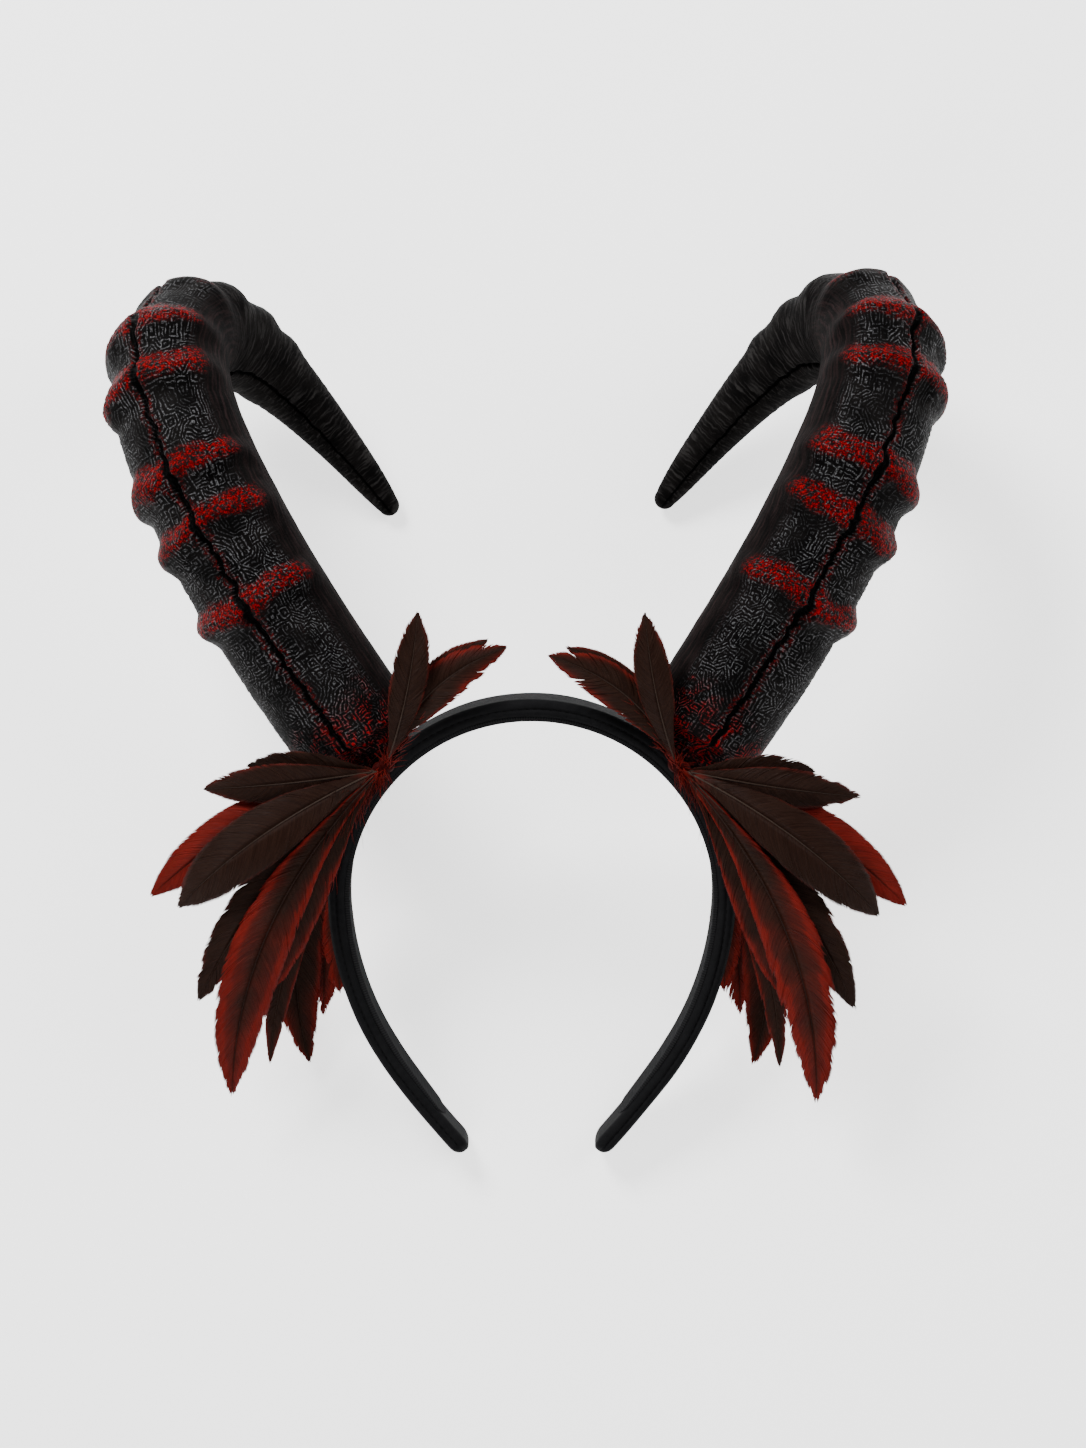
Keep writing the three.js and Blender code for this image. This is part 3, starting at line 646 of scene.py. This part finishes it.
# Crackle of the paint on the front, fibres on the other sides and hoops towards the tip
folded = shifted + (t.noise(shifted, 0.13, 1.0, "Color") - (0.5, 0.5, 0.5)) * 9.0
vein = 1 - t.add("ShaderNodeTexVoronoi", {"feature": "DISTANCE_TO_EDGE"}, {
    "Vector": folded, "Scale": 0.34}).smooth(0.0, 0.16)
wriggle = 1 - (t.noise(shifted, 0.55) - 0.5).math("ABSOLUTE").smooth(0.0, 0.05)
patch = t.noise(shifted, 0.05).smooth(0.36, 0.58)
crackled = (vein * 0.75 + wriggle * 0.55).math("MINIMUM", 1.0) * front * (1 - share.smooth(0.52, 0.62)) * (
    0.25 + 0.75 * patch)
stroke_place = t.vector(angle.math("COSINE") * 5.5, angle.math("SINE") * 5.5, share * 9 + seed)
fibre = t.noise(stroke_place, 2.2, 3.0) - 0.5
hoop_place = along_horn + 5 * (angle - 0.6).math("SINE") + 6 * t.noise(shifted, 0.06, 1.0)
hoop = (hoop_place * 1.9).math("SINE") * t.noise(shifted, 0.22, 1.0).smooth(0.35, 0.6)
grain = given.also("Grain")
tip_part = share.smooth(0.56, 0.68)
detail = (
    given.also("Crackle") * crackled
    + grain * (1.6 * fibre * (1 - 0.7 * tip_part) * (1 - 0.5 * front))
    + grain * 0.75 * hoop * tip_part
    + 0.5 * (t.noise(shifted, 0.09) - 0.5) * (1 - tip_part)
) * (0.25 + 0.75 * stoutness)
rise = (ring * ring_shown * given.also("Ring height") + detail
        - groove * given.also("Groove depth") * stoutness + groove_edge * 0.28 * front)
moved = base + direction.unit() * (rise * (girth / 1.5).smooth(0.0, 1.0))
# The foot sits on the round back of the band
part = moved.parts()
from_centre = (part * part + part.also("Z") * part.also("Z")).math("SQRT")
pushed = (given.also("Foot seat") / from_centre).math("MAXIMUM", 1.0)
for name, value in {
    "paint": paint * ring_shown, "groove": groove, "front": front, "share": share,
    "beside": (1 - groove_share.smooth(1.1, 2.6)) * front,
    "sheet": t.vector(along_horn, wrapped(angle) * girth, seed * 31),
}.items():
    net = stored(net, name, value)
shaped = moved_to(net, t.vector(part * pushed, part.also("Y"), part.also("Z") * pushed))
joined = t.add("GeometryNodeMergeByDistance", {}, {"Geometry": shaped, "Distance": 0.002})
close_tree(t, joined, given)

# The foam's paint, with painted highlights: short strokes pressed in blocks, each ruled or nested in its own direction,
# and light grey glints painted along some of them
BLOCKS_PER_MM = 0.24
STROKE_PITCH = 1.15
painted_foam, t = new_material("painted_foam")
place = t.place()
paint, groove, front, share, beside = (
    t.attribute(name) for name in ("paint", "groove", "front", "share", "beside"))
sheet = t.attribute("sheet", "Vector")  # millimetres along and round the horn
cloud = t.noise(place, 90.0, 3.0)
speckle = t.noise(place, 650.0, 3.0, Roughness=0.6)
fine = t.noise(place, 1600.0)
sheet_bent = sheet + (t.noise(sheet, 0.3, 1.0, "Color") - (0.5, 0.5, 0.5)) * 1.8
block = t.add("ShaderNodeTexVoronoi", {"voronoi_dimensions": "2D", "distance": "CHEBYCHEV"},
              {"Vector": sheet_bent, "Scale": BLOCKS_PER_MM}, "Color")
block_chance = block.parts()
block_turn = (block_chance * 4).math("FLOOR") * (math.pi / 4)
nested = (block.also("Distance") * (2 * math.pi / STROKE_PITCH / BLOCKS_PER_MM)).math("SINE")
bent_along = sheet_bent.parts()
bent_round = bent_along.also("Y")
ruled = ((bent_along * block_turn.math("COSINE") + bent_round * block_turn.math("SINE"))
         * (2 * math.pi / STROKE_PITCH)).math("SINE")
stroke = ruled + (nested - ruled) * block_chance.also("Y").smooth(0.35, 0.45)
strokes = stroke.smooth(0.1, 0.8) * t.noise(sheet, 0.7).smooth(0.36, 0.48)
streak = t.noise(t.vector(bent_along * 0.08, bent_round * 0.9), 1.0, 3.0)
hooped = t.noise(t.vector(bent_along * 1.2, bent_round * 0.12), 1.0)
tip_part = share.smooth(0.55, 0.66)
# Red paint: at the root, higher on the side of the crown, on the rings and along the groove
root_edge = (share + bent_round * 0.001 + 0.07 * (cloud - 0.5)).smooth(0.01, 0.06)
rooted = share.smooth(-0.05, -0.035) * (1 - root_edge) * front.smooth(0.2, 0.9)
rooted = rooted * (t.noise(sheet, 0.17).smooth(0.42, 0.56) * 0.8 + 0.2 - share.smooth(-0.005, 0.02) * 0.2)
ringed = (paint * 1.1 + 0.9 * (cloud - 0.5)).smooth(0.15, 0.75) * speckle.smooth(0.4, 0.58) * front.smooth(0.1, 0.7)
lined = beside.smooth(0.3, 1.0) * speckle.smooth(0.4, 0.65) * 0.35
red = (ringed + rooted * (0.9 * strokes + 0.7 * speckle.smooth(0.54, 0.64)) + lined).math("MINIMUM", 1.0)
red = red * (1 - groove.smooth(0.15, 0.6))
red_tone = (fine.smooth(0.4, 0.7) + 0.6 * rooted * strokes).math("MINIMUM", 1.0)
charcoal = t.mix(cloud.smooth(0.35, 0.65), (0.0024, 0.0022, 0.0022), (0.0054, 0.0047, 0.0045))
fibrous = t.mix(streak.smooth(0.4, 0.76) * (1 - front) * (1 - tip_part), charcoal, (0.02, 0.0115, 0.0115))
hoops = t.mix(hooped.smooth(0.46, 0.7) * tip_part, fibrous, (0.019, 0.0175, 0.017))
# Painted highlight: light grey glints in the base colour on the strokes of the front, standing in for the shine of the
# paint
painted_glint = strokes * front.smooth(0.35, 0.9) * (1 - tip_part) * (0.25 + 0.75 * t.noise(sheet, 0.09).smooth(0.38, 0.56))
with_painted_glints = t.mix(painted_glint * (0.15 + 0.85 * fine.smooth(0.42, 0.6)), hoops, (0.1, 0.1, 0.104))
colour = t.mix(red, with_painted_glints, t.mix(red_tone, (0.03, 0.0005, 0.0008), (0.27, 0.003, 0.005)))
in_shadow = (groove.smooth(0.2, 0.7) + 1 - share.smooth(-0.055, -0.04)).math("MINIMUM", 1.0)
t.surface(
    Base_Color=t.mix(in_shadow * 0.95, colour, (0.0008, 0.0008, 0.0008)),
    Roughness=0.72 - 0.22 * front,
    Specular_IOR_Level=0.015,
    bump=(0.4 * fine + 0.5 * speckle + 0.9 * strokes * front + 0.5 * hooped * tip_part, 0.00022),
)


def put_side(name, side, mesh, replaced=()):
    """Puts on a mesh that was made as on the left, mirrored for the right"""
    if side == "right":
        mesh.transform(Matrix.Scale(-1, 4, Vector((1, 0, 0))))
        faced_out(mesh)
    put_on(f"{name}_{side}", mesh, [f"{solid}_{side}" for solid in replaced])


# Neither is glued on quite straight: degrees that each leans inwards, and that its curl is opened
for side, horn_seed, lean, degrees in (("left", 0.0, -0.4, 2.0), ("right", 3.0, 1.15, 3.0)):
    rows = horn_rows(HORN_ROWS, degrees)
    horn_mesh = faced_out(grow(horn_skin, rows.pop("middle"), painted_foam, {"Seed": horn_seed}, columns=rows))
    horn_mesh.transform(Matrix.Rotation(math.radians(lean), 4, "Y"))
    put_side("curled_horn", side, horn_mesh, ["horn"])

# Feathers: trimmed rooster feathers, dark brown and dyed red at their edges and ends. Each has a thin quill, with
# barbs that cling together in bunches and part at the edges. Their quills are bound and glued in a knot on the
# front edge of the band, three upwards and eight outwards and down, and four more are sewn to a tape behind it.
KNOT_ANGLE = 46.5
KNOT_HEIGHT = 4.2
KNOT_INSET = 0.8
ROOT_OFFSET = 1.5
FEATHER_LENGTH = 126.0
FEATHER_WIDTH = 21.0
FIRST_BARB, LAST_BARB = 0.06, 0.985
BARB_STEPS = 7
PAST_TIP = 1.02  # the quill's line runs on a little, for the last barbs
VANE = [  # share of the length, share of the half width
    (0.0, 0.12), (0.12, 0.22), (0.28, 0.55), (0.45, 0.89), (0.6, 1.0), (0.76, 0.88), (0.89, 0.57), (0.96, 0.28),
    (1.0, 0.05),
]
# Degrees from the top, shares of the longest and widest feather, how far it bows in the plane of the fan and
# towards the viewer, and its tip goes back, degrees of roll, redness and raggedness, and degrees it hangs lower on
# the right
Feather = namedtuple("Feather", "aim length width bow lift tip_back roll red ragged sag")
TUFT = [Feather(*row) for row in (
    (-11.8, 0.424, 0.61, -0.033, 0.098, -0.059, 8, 0.25, 0.6, 0),
    (-45.5, 0.45, 0.68, 0.126, 0.074, 0.019, -12, 0.45, 1.0, -4),
    (-39, 0.43, 0.48, 0.12, 0.06, 0.03, -12, 0.35, 0.5, -4),
)]
FAN = [Feather(*row, 2.5) for row in (
    (124.2, 0.655, 0.96, 0.072, 0.145, -0.048, 12, 0.1, 0.4),
    (119.5, 0.715, 0.82, 0.071, 0.054, 0.033, 8, 0.95, 0.3),
    (96.1, 0.475, 0.68, 0.008, 0.115, 0, -6, 0.25, 0.7),
    (88.3, 0.355, 0.62, 0.01, 0.087, 0.043, -16, 0.15, 0.9),
    (142, 0.81, 0.81, 0.058, 0.085, 0.0, 4, 0.15, 0.8),
    (155.4, 0.99, 0.98, 0.1, 0.079, -0.016, -14, 0.75, 0.8),
    (154.4, 0.685, 0.76, 0.061, 0.062, 0.034, -6, 0.55, 0.8),
    (159.5, 0.89, 0.48, 0.071, 0.027, 0.054, 0, 0.4, 0.8),
)]
SPRAY_SEATS = (0.11, 0.33, 0.59, 0.81)
SPRAY = [Feather(*row, 0) for row in (
    (168.8, 0.77, 0.84, 0.125, -0.031, 0.031, 0, 0.45, 0.5),
    (167, 0.62, 0.7, 0.08, -0.034, 0.069, 0, 0.7, 1.6),
    (172.5, 0.52, 0.66, 0.034, -0.023, 0.114, 0, 0.8, 1.8),
    (178.5, 0.39, 0.57, 0.015, -0.03, 0.091, 0, 0.7, 1.8),
)]


def many_rods(count, sides, steps):
    """Copies of a small rod as plain geometry, the number of the rod that a point is on, and its place there"""
    rod = t.add("GeometryNodeMeshCylinder", {"fill_type": "NGON"}, {
        "Vertices": sides, "Side Segments": steps, "Radius": 1.0, "Depth": 1.0})
    rod = stored(rod, "shape", t.add("GeometryNodeInputPosition", {}, {}))
    line = t.add("GeometryNodeMeshLine", {}, {"Count": count, "Offset": (0.0, 0.0, 1.0)})
    rods = t.add("GeometryNodeInstanceOnPoints", {}, {"Points": line, "Instance": rod})
    rods = stored(rods, "number", t.add("GeometryNodeInputIndex", {}, {}), "INSTANCE")
    rods = t.add("GeometryNodeRealizeInstances", {}, {"Geometry": rods})
    return rods, named("number"), named("shape", "FLOAT_VECTOR").parts()


def chance(value):
    """A fixed random number in 0 to 1 for each value"""
    return t.add("ShaderNodeTexWhiteNoise", {"noise_dimensions": "1D"}, {"W": value * 3.17 + seed * 41.3 + 0.5})


def vane_width(place):
    return t.add("ShaderNodeFloatCurve", {"points": VANE}, {"Value": place})


vane_tree, t, given = growing_tree("feather", {
    "Length": FEATHER_LENGTH, "Half width": FEATHER_WIDTH / 2, "Front": (0.0, -1.0, 0.0), "Barb spacing": 0.58,
    "Barb thickness": 0.1, "Quill radius": 0.28, "Ragged": 1.0, "Red": 0.5, "Seed": 0.0})
length, half_width, seed = (given.also(name) for name in ("Length", "Half width", "Seed"))
quill_line = t.add("GeometryNodeMeshToCurve", {}, {"Mesh": given})
pairs = (length * (LAST_BARB - FIRST_BARB) / given.also("Barb spacing")).math("FLOOR")
barbs, number, over = many_rods(pairs * 2, 4, BARB_STEPS)
high = over.also("Y")  # off the vane, and over is across the barb
# Along the barb, after a short first step that hides its end under the quill
step = (over.also("Z") + 0.5) * BARB_STEPS
down = ((step - 1) / (BARB_STEPS - 1)).math("MINIMUM", 1.0).math("MAXIMUM", 0.0)
sunk = 1 - step.smooth(0.1, 0.9)
left_right = 1 - (number % 2.0) * 2
rank = (number / 2).math("FLOOR") / (pairs - 1)
blade = 0.95 * (1 - 0.8 * down.smooth(0.9, 1.0))  # of the spacing, each way from the barb's middle
start = FIRST_BARB + (LAST_BARB - FIRST_BARB) * (rank + over * blade / (pairs - 1))
reach = (1.25 + 0.5 * start) * (half_width * vane_width(start) + 1.2) / length
left_over = 1.004 - start
end = start + left_over * (1 - (-1 * reach / left_over).math("EXPONENT"))
# Barbs cling together in bunches: most lie close, a few stand apart, and some are cut short
ragged = given.also("Ragged")
bunch_place = rank * length / 4.5 + t.line_noise(rank * 7 + seed * 5 + left_right * 3) * 3
bunch = bunch_place.math("FLOOR")
tooth = bunch_place - bunch
bunch = bunch * 2 + left_right
sway, lift = chance(bunch) - 0.5, chance(bunch + 57) - 0.5
parted = 4 * sway * sway * sway
cut = chance(bunch + 91) ** 6
reached = down * (1 - ragged * (0.02 * chance(number + 211) + 0.05 * tooth + 0.2 * cut))
sideways = half_width * vane_width(end) * (1 - (1 - reached) ** 1.25)
along_quill = start + (end - start) * reached ** 1.3 + parted * ragged * (down ** 2.5) * 3.0 / length
along_quill = along_quill.math("MINIMUM", PAST_TIP)
sample = t.add("GeometryNodeSampleCurve", {"mode": "FACTOR", "data_type": "FLOAT"}, {
    "Curves": quill_line, "Factor": along_quill / PAST_TIP}, "Position")
tangent = sample.also("Tangent")
front_way = given.also("Front")
across_way = tangent.cross(front_way).unit()
spread = sideways / half_width
ripples = t.noise(t.vector(along_quill * length * 0.09, spread * left_right, seed * 3), 1.6) - 0.5
off_vane = (
    half_width * (0.07 - 0.13 * spread * spread) + ripples * 1.6 * spread
    + lift * lift * lift * ragged * 4 * down * down
    + (high + 0.5 * chance(number + 5)) * given.also("Barb thickness") * (1 - 0.6 * down) - 0.25 * sunk
)
barb_place = sample + across_way * (sideways * left_right) + across_way.cross(tangent).unit() * off_vane
dye = t.vector(down, along_quill, chance(number + 77) * 0.5 + chance(bunch + 13) * 0.5)
barbs = stored(barbs, "dye", dye)
barbs = stored(barbs, "strand", start * length + left_right * 37 + seed * 11)
barbs = moved_to(barbs, barb_place)
# The quill lies on the vane
quill_share = t.add("GeometryNodeSplineParameter", {}, {})
shaft_line = t.add("GeometryNodeTrimCurve", {"mode": "FACTOR"}, {"Curve": quill_line, "Start": 0.0, "End": 0.95})
shaft_tangent = t.add("GeometryNodeInputTangent", {}, {})
shaft_face = shaft_tangent.cross(front_way).unit().cross(shaft_tangent).unit()
shaft_line = t.add("GeometryNodeSetPosition", {}, {
    "Geometry": shaft_line, "Offset": shaft_face * (half_width * 0.075 + 0.1)})
shaft = t.add("GeometryNodeCurveToMesh", {}, {
    "Curve": shaft_line, "Scale": given.also("Quill radius") * (1.08 - quill_share), "Fill Caps": True,
    "Profile Curve": t.add("GeometryNodeCurvePrimitiveCircle", {}, {"Resolution": 7, "Radius": 1.0})})
both = t.add("GeometryNodeJoinGeometry", {}, {"Geometry": [barbs, stored(shaft, "shaft", 1.0)]})
close_tree(t, stored(both, "red", given.also("Red")), given)

fluff_tree, t, given = growing_tree("fluff", {
    "Wisps per root": 8, "Thickness": 0.17, "Spread": 0.55, "Jitter": 0.8, "Curl": 0.5, "Red": 0.5, "Seed": 0.0})
per_root, seed = given.also("Wisps per root"), given.also("Seed")
root_count = t.add("GeometryNodeAttributeDomainSize", {"component": "MESH"}, {"Geometry": given}, "Point Count")
wisps, number, part = many_rods(root_count * per_root, 3, 5)
root_number = (number / per_root).math("FLOOR")
aim = from_row("aim", root_number, "FLOAT_VECTOR")


def chance_way(value, size):
    """A fixed random vector for each value, with each part up to half the size either way"""
    return t.vector(*(chance(value + 31 * i) - 0.5 for i in range(3))) * size


reach = aim.length() * (0.35 + 0.65 * chance(number))
wisp_way = (aim.unit() + chance_way(number + 101, 2 * given.also("Spread"))).unit()
wisp_side = wisp_way.cross((0.0, -1.0, 0.2)).unit()
down = part.also("Z") + 0.5
wisp_place = (
    from_row("position", root_number, "FLOAT_VECTOR") + chance_way(number + 203, 2 * given.also("Jitter"))
    + wisp_way * (reach * down) + chance_way(number + 307, reach * given.also("Curl") * down * down)
    + (wisp_side * part + wisp_side.cross(wisp_way) * part.also("Y")) * (given.also("Thickness") * (1 - 0.85 * down))
)
wisps = stored(wisps, "dye", t.vector(0.7 + 0.3 * down, 0.5, chance(number + 77)))
wisps = stored(wisps, "red", given.also("Red") + 0.5 * chance(number + 401))
close_tree(t, moved_to(wisps, wisp_place), given)

dyed_feather, t = new_material("dyed_feather")
from_quill = t.attribute("dye", "Vector").parts()
along_quill, barb_tone = from_quill.also("Y"), from_quill.also("Z")
red, shaft = t.attribute("red"), t.attribute("shaft")
mottle = t.noise(t.place(), 70.0, 3.0) - 0.5
striation = t.noise(t.vector(t.attribute("strand") * 2.2, from_quill * 1.5), 1.0)
rim = (from_quill + 0.3 * mottle + 0.25 * (striation - 0.5) - (0.9 - 0.55 * red)).smooth(0.0, 0.3)
flush = (from_quill * 0.4 + along_quill * 0.45 + mottle * 0.5 + red * 0.85 - 0.4).smooth(0.4, 1.0)
root_flush = 1 - (along_quill + 0.2 * mottle).smooth(0.02, 0.16)
reddened = (rim * (0.4 + 0.5 * red) + flush * (0.2 + 0.8 * red) + root_flush * 0.6).math("MINIMUM", 1.0)
tone = (0.35 * barb_tone + 0.65 * striation.smooth(0.3, 0.7)).math("MINIMUM", 1.0)
brown = t.mix(tone, (0.0100, 0.0030, 0.0015), (0.0215, 0.0086, 0.0050))
dyed = t.mix(tone, (0.085, 0.0040, 0.0025), (0.17, 0.0095, 0.0055))
quill_colour = t.mix(red, (0.05, 0.034, 0.026), (0.014, 0.004, 0.003))
t.surface(
    Base_Color=t.mix(shaft, t.mix(reddened, brown, dyed), quill_colour),
    Roughness=0.42 + 0.2 * tone,
    Specular_IOR_Level=0.08,
    bump=(striation, 0.00006),
)


def quill_points(root, feather, shares):
    """Points along a feather's quill as worn, on the left"""
    reach = feather.length * FEATHER_LENGTH
    along = outward(math.radians(-feather.aim))
    bow_way = outward(math.radians(90 - feather.aim)) * (1 if feather.aim > 0 else -1)
    arch = 4 * shares * (1 - shares)
    points = root + along * (reach * shares)[:, None] + bow_way * (reach * feather.bow * arch)[:, None]
    points[:, 1] += reach * (feather.tip_back * shares - feather.lift * arch)
    return points


def one_feather(root, feather, seed, side):
    """Grows a feather from its root"""
    if side == "right":
        feather = feather._replace(aim=feather.aim + feather.sag)
    along = Vector(outward(math.radians(-feather.aim)))
    facing = Matrix.Rotation(math.radians(feather.roll), 3, along) @ Vector((0, -1, 0))
    return grow(vane_tree, quill_points(root, feather, np.linspace(0, PAST_TIP, 48)), dyed_feather, {
        "Length": feather.length * FEATHER_LENGTH, "Half width": feather.width * FEATHER_WIDTH / 2,
        "Front": tuple(facing), "Ragged": feather.ragged, "Red": feather.red, "Seed": float(seed)})


def fluff(first_seed, roots, heading, length, per_root, seed, spread=0.55, jitter=0.8, curl=0.5, red=0.5):
    """Loose barbs from roots, up to a length, most of them at a heading in degrees"""
    aims = np.tile(outward(math.radians(heading)) * length, (len(roots), 1))
    return grow(fluff_tree, roots, dyed_feather, {
        "Wisps per root": per_root, "Spread": spread, "Jitter": jitter, "Curl": curl, "Red": red,
        "Seed": float(first_seed + seed)}, edges=[], columns={"aim": aims})


def gathered(meshes, material):
    """Joins meshes into one"""
    work = bmesh.new()
    for mesh in meshes:
        work.from_mesh(mesh)
    whole = bpy.data.meshes.new("gathered")
    work.to_mesh(whole)
    work.free()
    whole.materials.append(material)
    return whole


def knot_root(side):
    """Where the front feathers' quills meet, nearer the crown for 1 and nearer the end for -1"""
    middle = outward(math.radians(-KNOT_ANGLE)) * (CROWN_RADIUS + BAND_OUTER - KNOT_INSET)
    root = middle + outward(math.radians(90 - KNOT_ANGLE)) * side * ROOT_OFFSET
    return root + np.array([0, -BAND_WIDTH / 2 - TOUCH_GAP - KNOT_HEIGHT / 2, 0])


TAPE_TOP, TAPE_END = 59.0, 86.0  # degrees from the top of the crown


def spray_root(share, off_tape=0.0):
    """Where a rear feather's quill is sewn to the tape"""
    heading = math.radians(-(TAPE_TOP + (TAPE_END - TAPE_TOP) * share))
    root = inner_face(np.array(heading)) + outward(heading) * BAND_MIDDLE
    return root + np.array([0, BAND_WIDTH / 2 + TOUCH_GAP + 1.4 + off_tape, 0])


def beside_quill(root, feather, places, out):
    """Points beside a feather's quill, out by a share of its half width, on the side of the band's middle"""
    toward_crown = outward(math.radians(90 - feather.aim))
    return quill_points(root, feather, np.array(places)) + toward_crown * out * feather.width * FEATHER_WIDTH / 2


def on_knot(side):
    return [knot_root(side) + np.array([0, -1.2, 0])] * 6


band_front = [
    band_points(np.array([-CROWN_RADIUS * math.radians(heading)]), np.array([BAND_OUTER - 2.4]),
                -BAND_WIDTH / 2 - 0.9)[0] for heading in (47, 48.5, 50, 52, 54, 57, 61, 66, 73, 82)]
plumes = [  # name, solid, feathers with their roots, and down as the fluff function takes it
    ("tuft", "plume_upper", [(knot_root(1), feather) for feather in TUFT], [
        (beside_quill(knot_root(1), TUFT[1], [0.12, 0.18, 0.25, 0.33, 0.42], 0.35), 52, 6.0, 7, 0),
        (on_knot(1), 20, 7.5, 7, 1, 1.0, 1.4)]),
    ("fan", "plume_lower", [(knot_root(-1), feather) for feather in FAN], [
        *((quill_points(knot_root(-1), FAN[i], np.linspace(0.04, 0.2, 6)), -FAN[i].aim - 6, 13.0, 9, 5 + i, 0.2,
           1.6, 0.3, 0.0) for i in (0, 5, 6)),
        (band_front, -168, 9.0, 8, 2, 0.4, 1.2),
        (on_knot(-1), -160, 9.0, 9, 3, 0.9, 1.4)]),
    ("rear_spray", "plume_rear", [(spray_root(share), feather) for share, feather in zip(SPRAY_SEATS, SPRAY)], [
        ([spray_root(share, 1.0) for share in np.linspace(0.1, 0.98, 12)], -166, 17.0, 12, 4, 0.3, 1.5, 0.3)]),
]
for side, first_seed in (("left", 0), ("right", 20)):
    for name, solid, feathers, downs in plumes:
        grown = [one_feather(root, feather, i + first_seed + len(feathers), side)
                 for i, (root, feather) in enumerate(feathers)]
        grown += [fluff(first_seed, *down) for down in downs]
        put_side(name, side, gathered(grown, dyed_feather), [solid])

# Knots: lumps of dried red glue over the bound quills, on the front edge of the band.
dried_glue, t = new_material("dried_glue")
lumpy = t.noise(t.place(), 700.0, 3.0)
t.surface(Base_Color=t.mix(lumpy, (0.012, 0.0012, 0.001), (0.045, 0.0025, 0.002)), Roughness=0.6,
          Specular_IOR_Level=0.03, bump=(lumpy, 0.0006))


def glued_knot(side):
    """The lump of glue and bound quills for one group of feathers"""
    turn = np.linspace(0.12, math.pi - 0.12, 14)[:, None]
    round_angle = np.linspace(0, 2 * math.pi, 22, endpoint=False)[None, :]
    lumps = 1 + 0.16 * ripple(np.random.default_rng(6 + side), turn * 5, round_angle, [2.1, 3.3, 2 * math.pi])
    reach = np.stack(np.broadcast_arrays(
        2.9 * np.sin(turn) * np.cos(round_angle), -2.0 * np.cos(turn), 2.9 * np.sin(turn) * np.sin(round_angle)),
        axis=-1)
    return skin(knot_root(side) + reach * lumps[..., None])


for side in ("left", "right"):
    put_side("glued_knots", side, gathered([glued_knot(1), glued_knot(-1)], dried_glue))

# Tape: a strip of grosgrain glued along the back edge of the band, that the rear feathers are sewn to.
TAPE_WIDTH = 5.0
TAPE_THICKNESS = 1.2
tape_section, _, tape_round = rounded_section(TAPE_WIDTH / 2, TAPE_THICKNESS / 2, 0.25, 0.5)
tape_distance = -CROWN_RADIUS * np.radians(np.linspace(TAPE_TOP, TAPE_END, 60))
tape_points = band_points(
    tape_distance[:, None] + 0 * tape_round[:-1], BAND_MIDDLE + tape_section[None, :, 0],
    BAND_WIDTH / 2 + TOUCH_GAP + TAPE_THICKNESS / 2 + tape_section[None, :, 1])
for side in ("left", "right"):
    tape_mesh = skin(tape_points, on_cloth(tape_distance, tape_round))
    tape_mesh.materials.append(grosgrain)
    put_side("feather_tape", side, tape_mesh)

# Studio: a pale table under the headband and soft white light from all round, stronger from above on the left.
# The camera is 1.2 m away, 12 degrees above the level of the worn band, where the photograph was taken.
VIEW_POINT = (3.9, 0.0, 59.8)
VIEW_ELEVATION = math.radians(12.0)
VIEW_DISTANCE = 1200.0
PIXELS_PER_MM = 2.95
IMAGE_WIDTH = 1086
TABLE_HALF_SIDE = 30
camera_data = bpy.data.cameras.new("camera")
camera_data.sensor_fit = "HORIZONTAL"
camera_data.sensor_width = 36.0
camera_data.lens = 36.0 * PIXELS_PER_MM * VIEW_DISTANCE / IMAGE_WIDTH
camera_data.clip_end = 100.0
camera = bpy.data.objects.new("camera", camera_data)
away = Vector((0, -math.cos(VIEW_ELEVATION), math.sin(VIEW_ELEVATION)))
turn = Matrix((worn_right, away.cross(worn_right), away)).transposed().to_4x4()
turn.translation = (Vector(VIEW_POINT) + away * VIEW_DISTANCE) * 0.001
camera.matrix_world = lying @ turn
bpy.context.scene.collection.objects.link(camera)
bpy.context.scene.camera = camera

floor_mesh = bpy.data.meshes.new("table")
floor_mesh.from_pydata([(x * TABLE_HALF_SIDE, y * TABLE_HALF_SIDE, 0) for x, y in ((-1, -1), (1, -1), (1, 1), (-1, 1))],
                       [], [(0, 1, 2, 3)])
pale, t = new_material("pale_table")
t.surface(Base_Color=t.mix(t.noise(t.place(), 3.0), (0.86, 0.86, 0.86), (0.9, 0.9, 0.9)), Roughness=0.9,
          Emission_Color=(1, 1, 1, 1), Emission_Strength=1.8)
floor_mesh.materials.append(pale)
table = bpy.data.objects.new("table", floor_mesh)
bpy.context.scene.collection.objects.link(table)

world = bpy.data.worlds.new("studio")
bpy.context.scene.world = world
world.use_nodes = True
world.node_tree.nodes.clear()
t = Tree(world.node_tree)
sky = t.add("ShaderNodeBackground", {}, {"Color": (1, 1, 1, 1), "Strength": 0.16})
t.add("ShaderNodeOutputWorld", {}, {"Surface": sky})
for name, place, width, power in (
    ("key_light", (-0.7, 0.9, 1.1), 0.6, 34.0),
    ("fill_light", (1.1, 0.4, 1.0), 0.9, 13.0),
    ("low_light", (-0.4, -1.2, 0.9), 0.9, 10.0),
):
    lamp = bpy.data.lights.new(name, "AREA")
    lamp.shape = "DISK"
    lamp.size = width
    lamp.energy = power
    light = bpy.data.objects.new(name, lamp)
    light.location = place
    light.rotation_euler = (Vector((0, 0, 0.04)) - Vector(place)).to_track_quat("-Z", "Y").to_euler()
    bpy.context.scene.collection.objects.link(light)
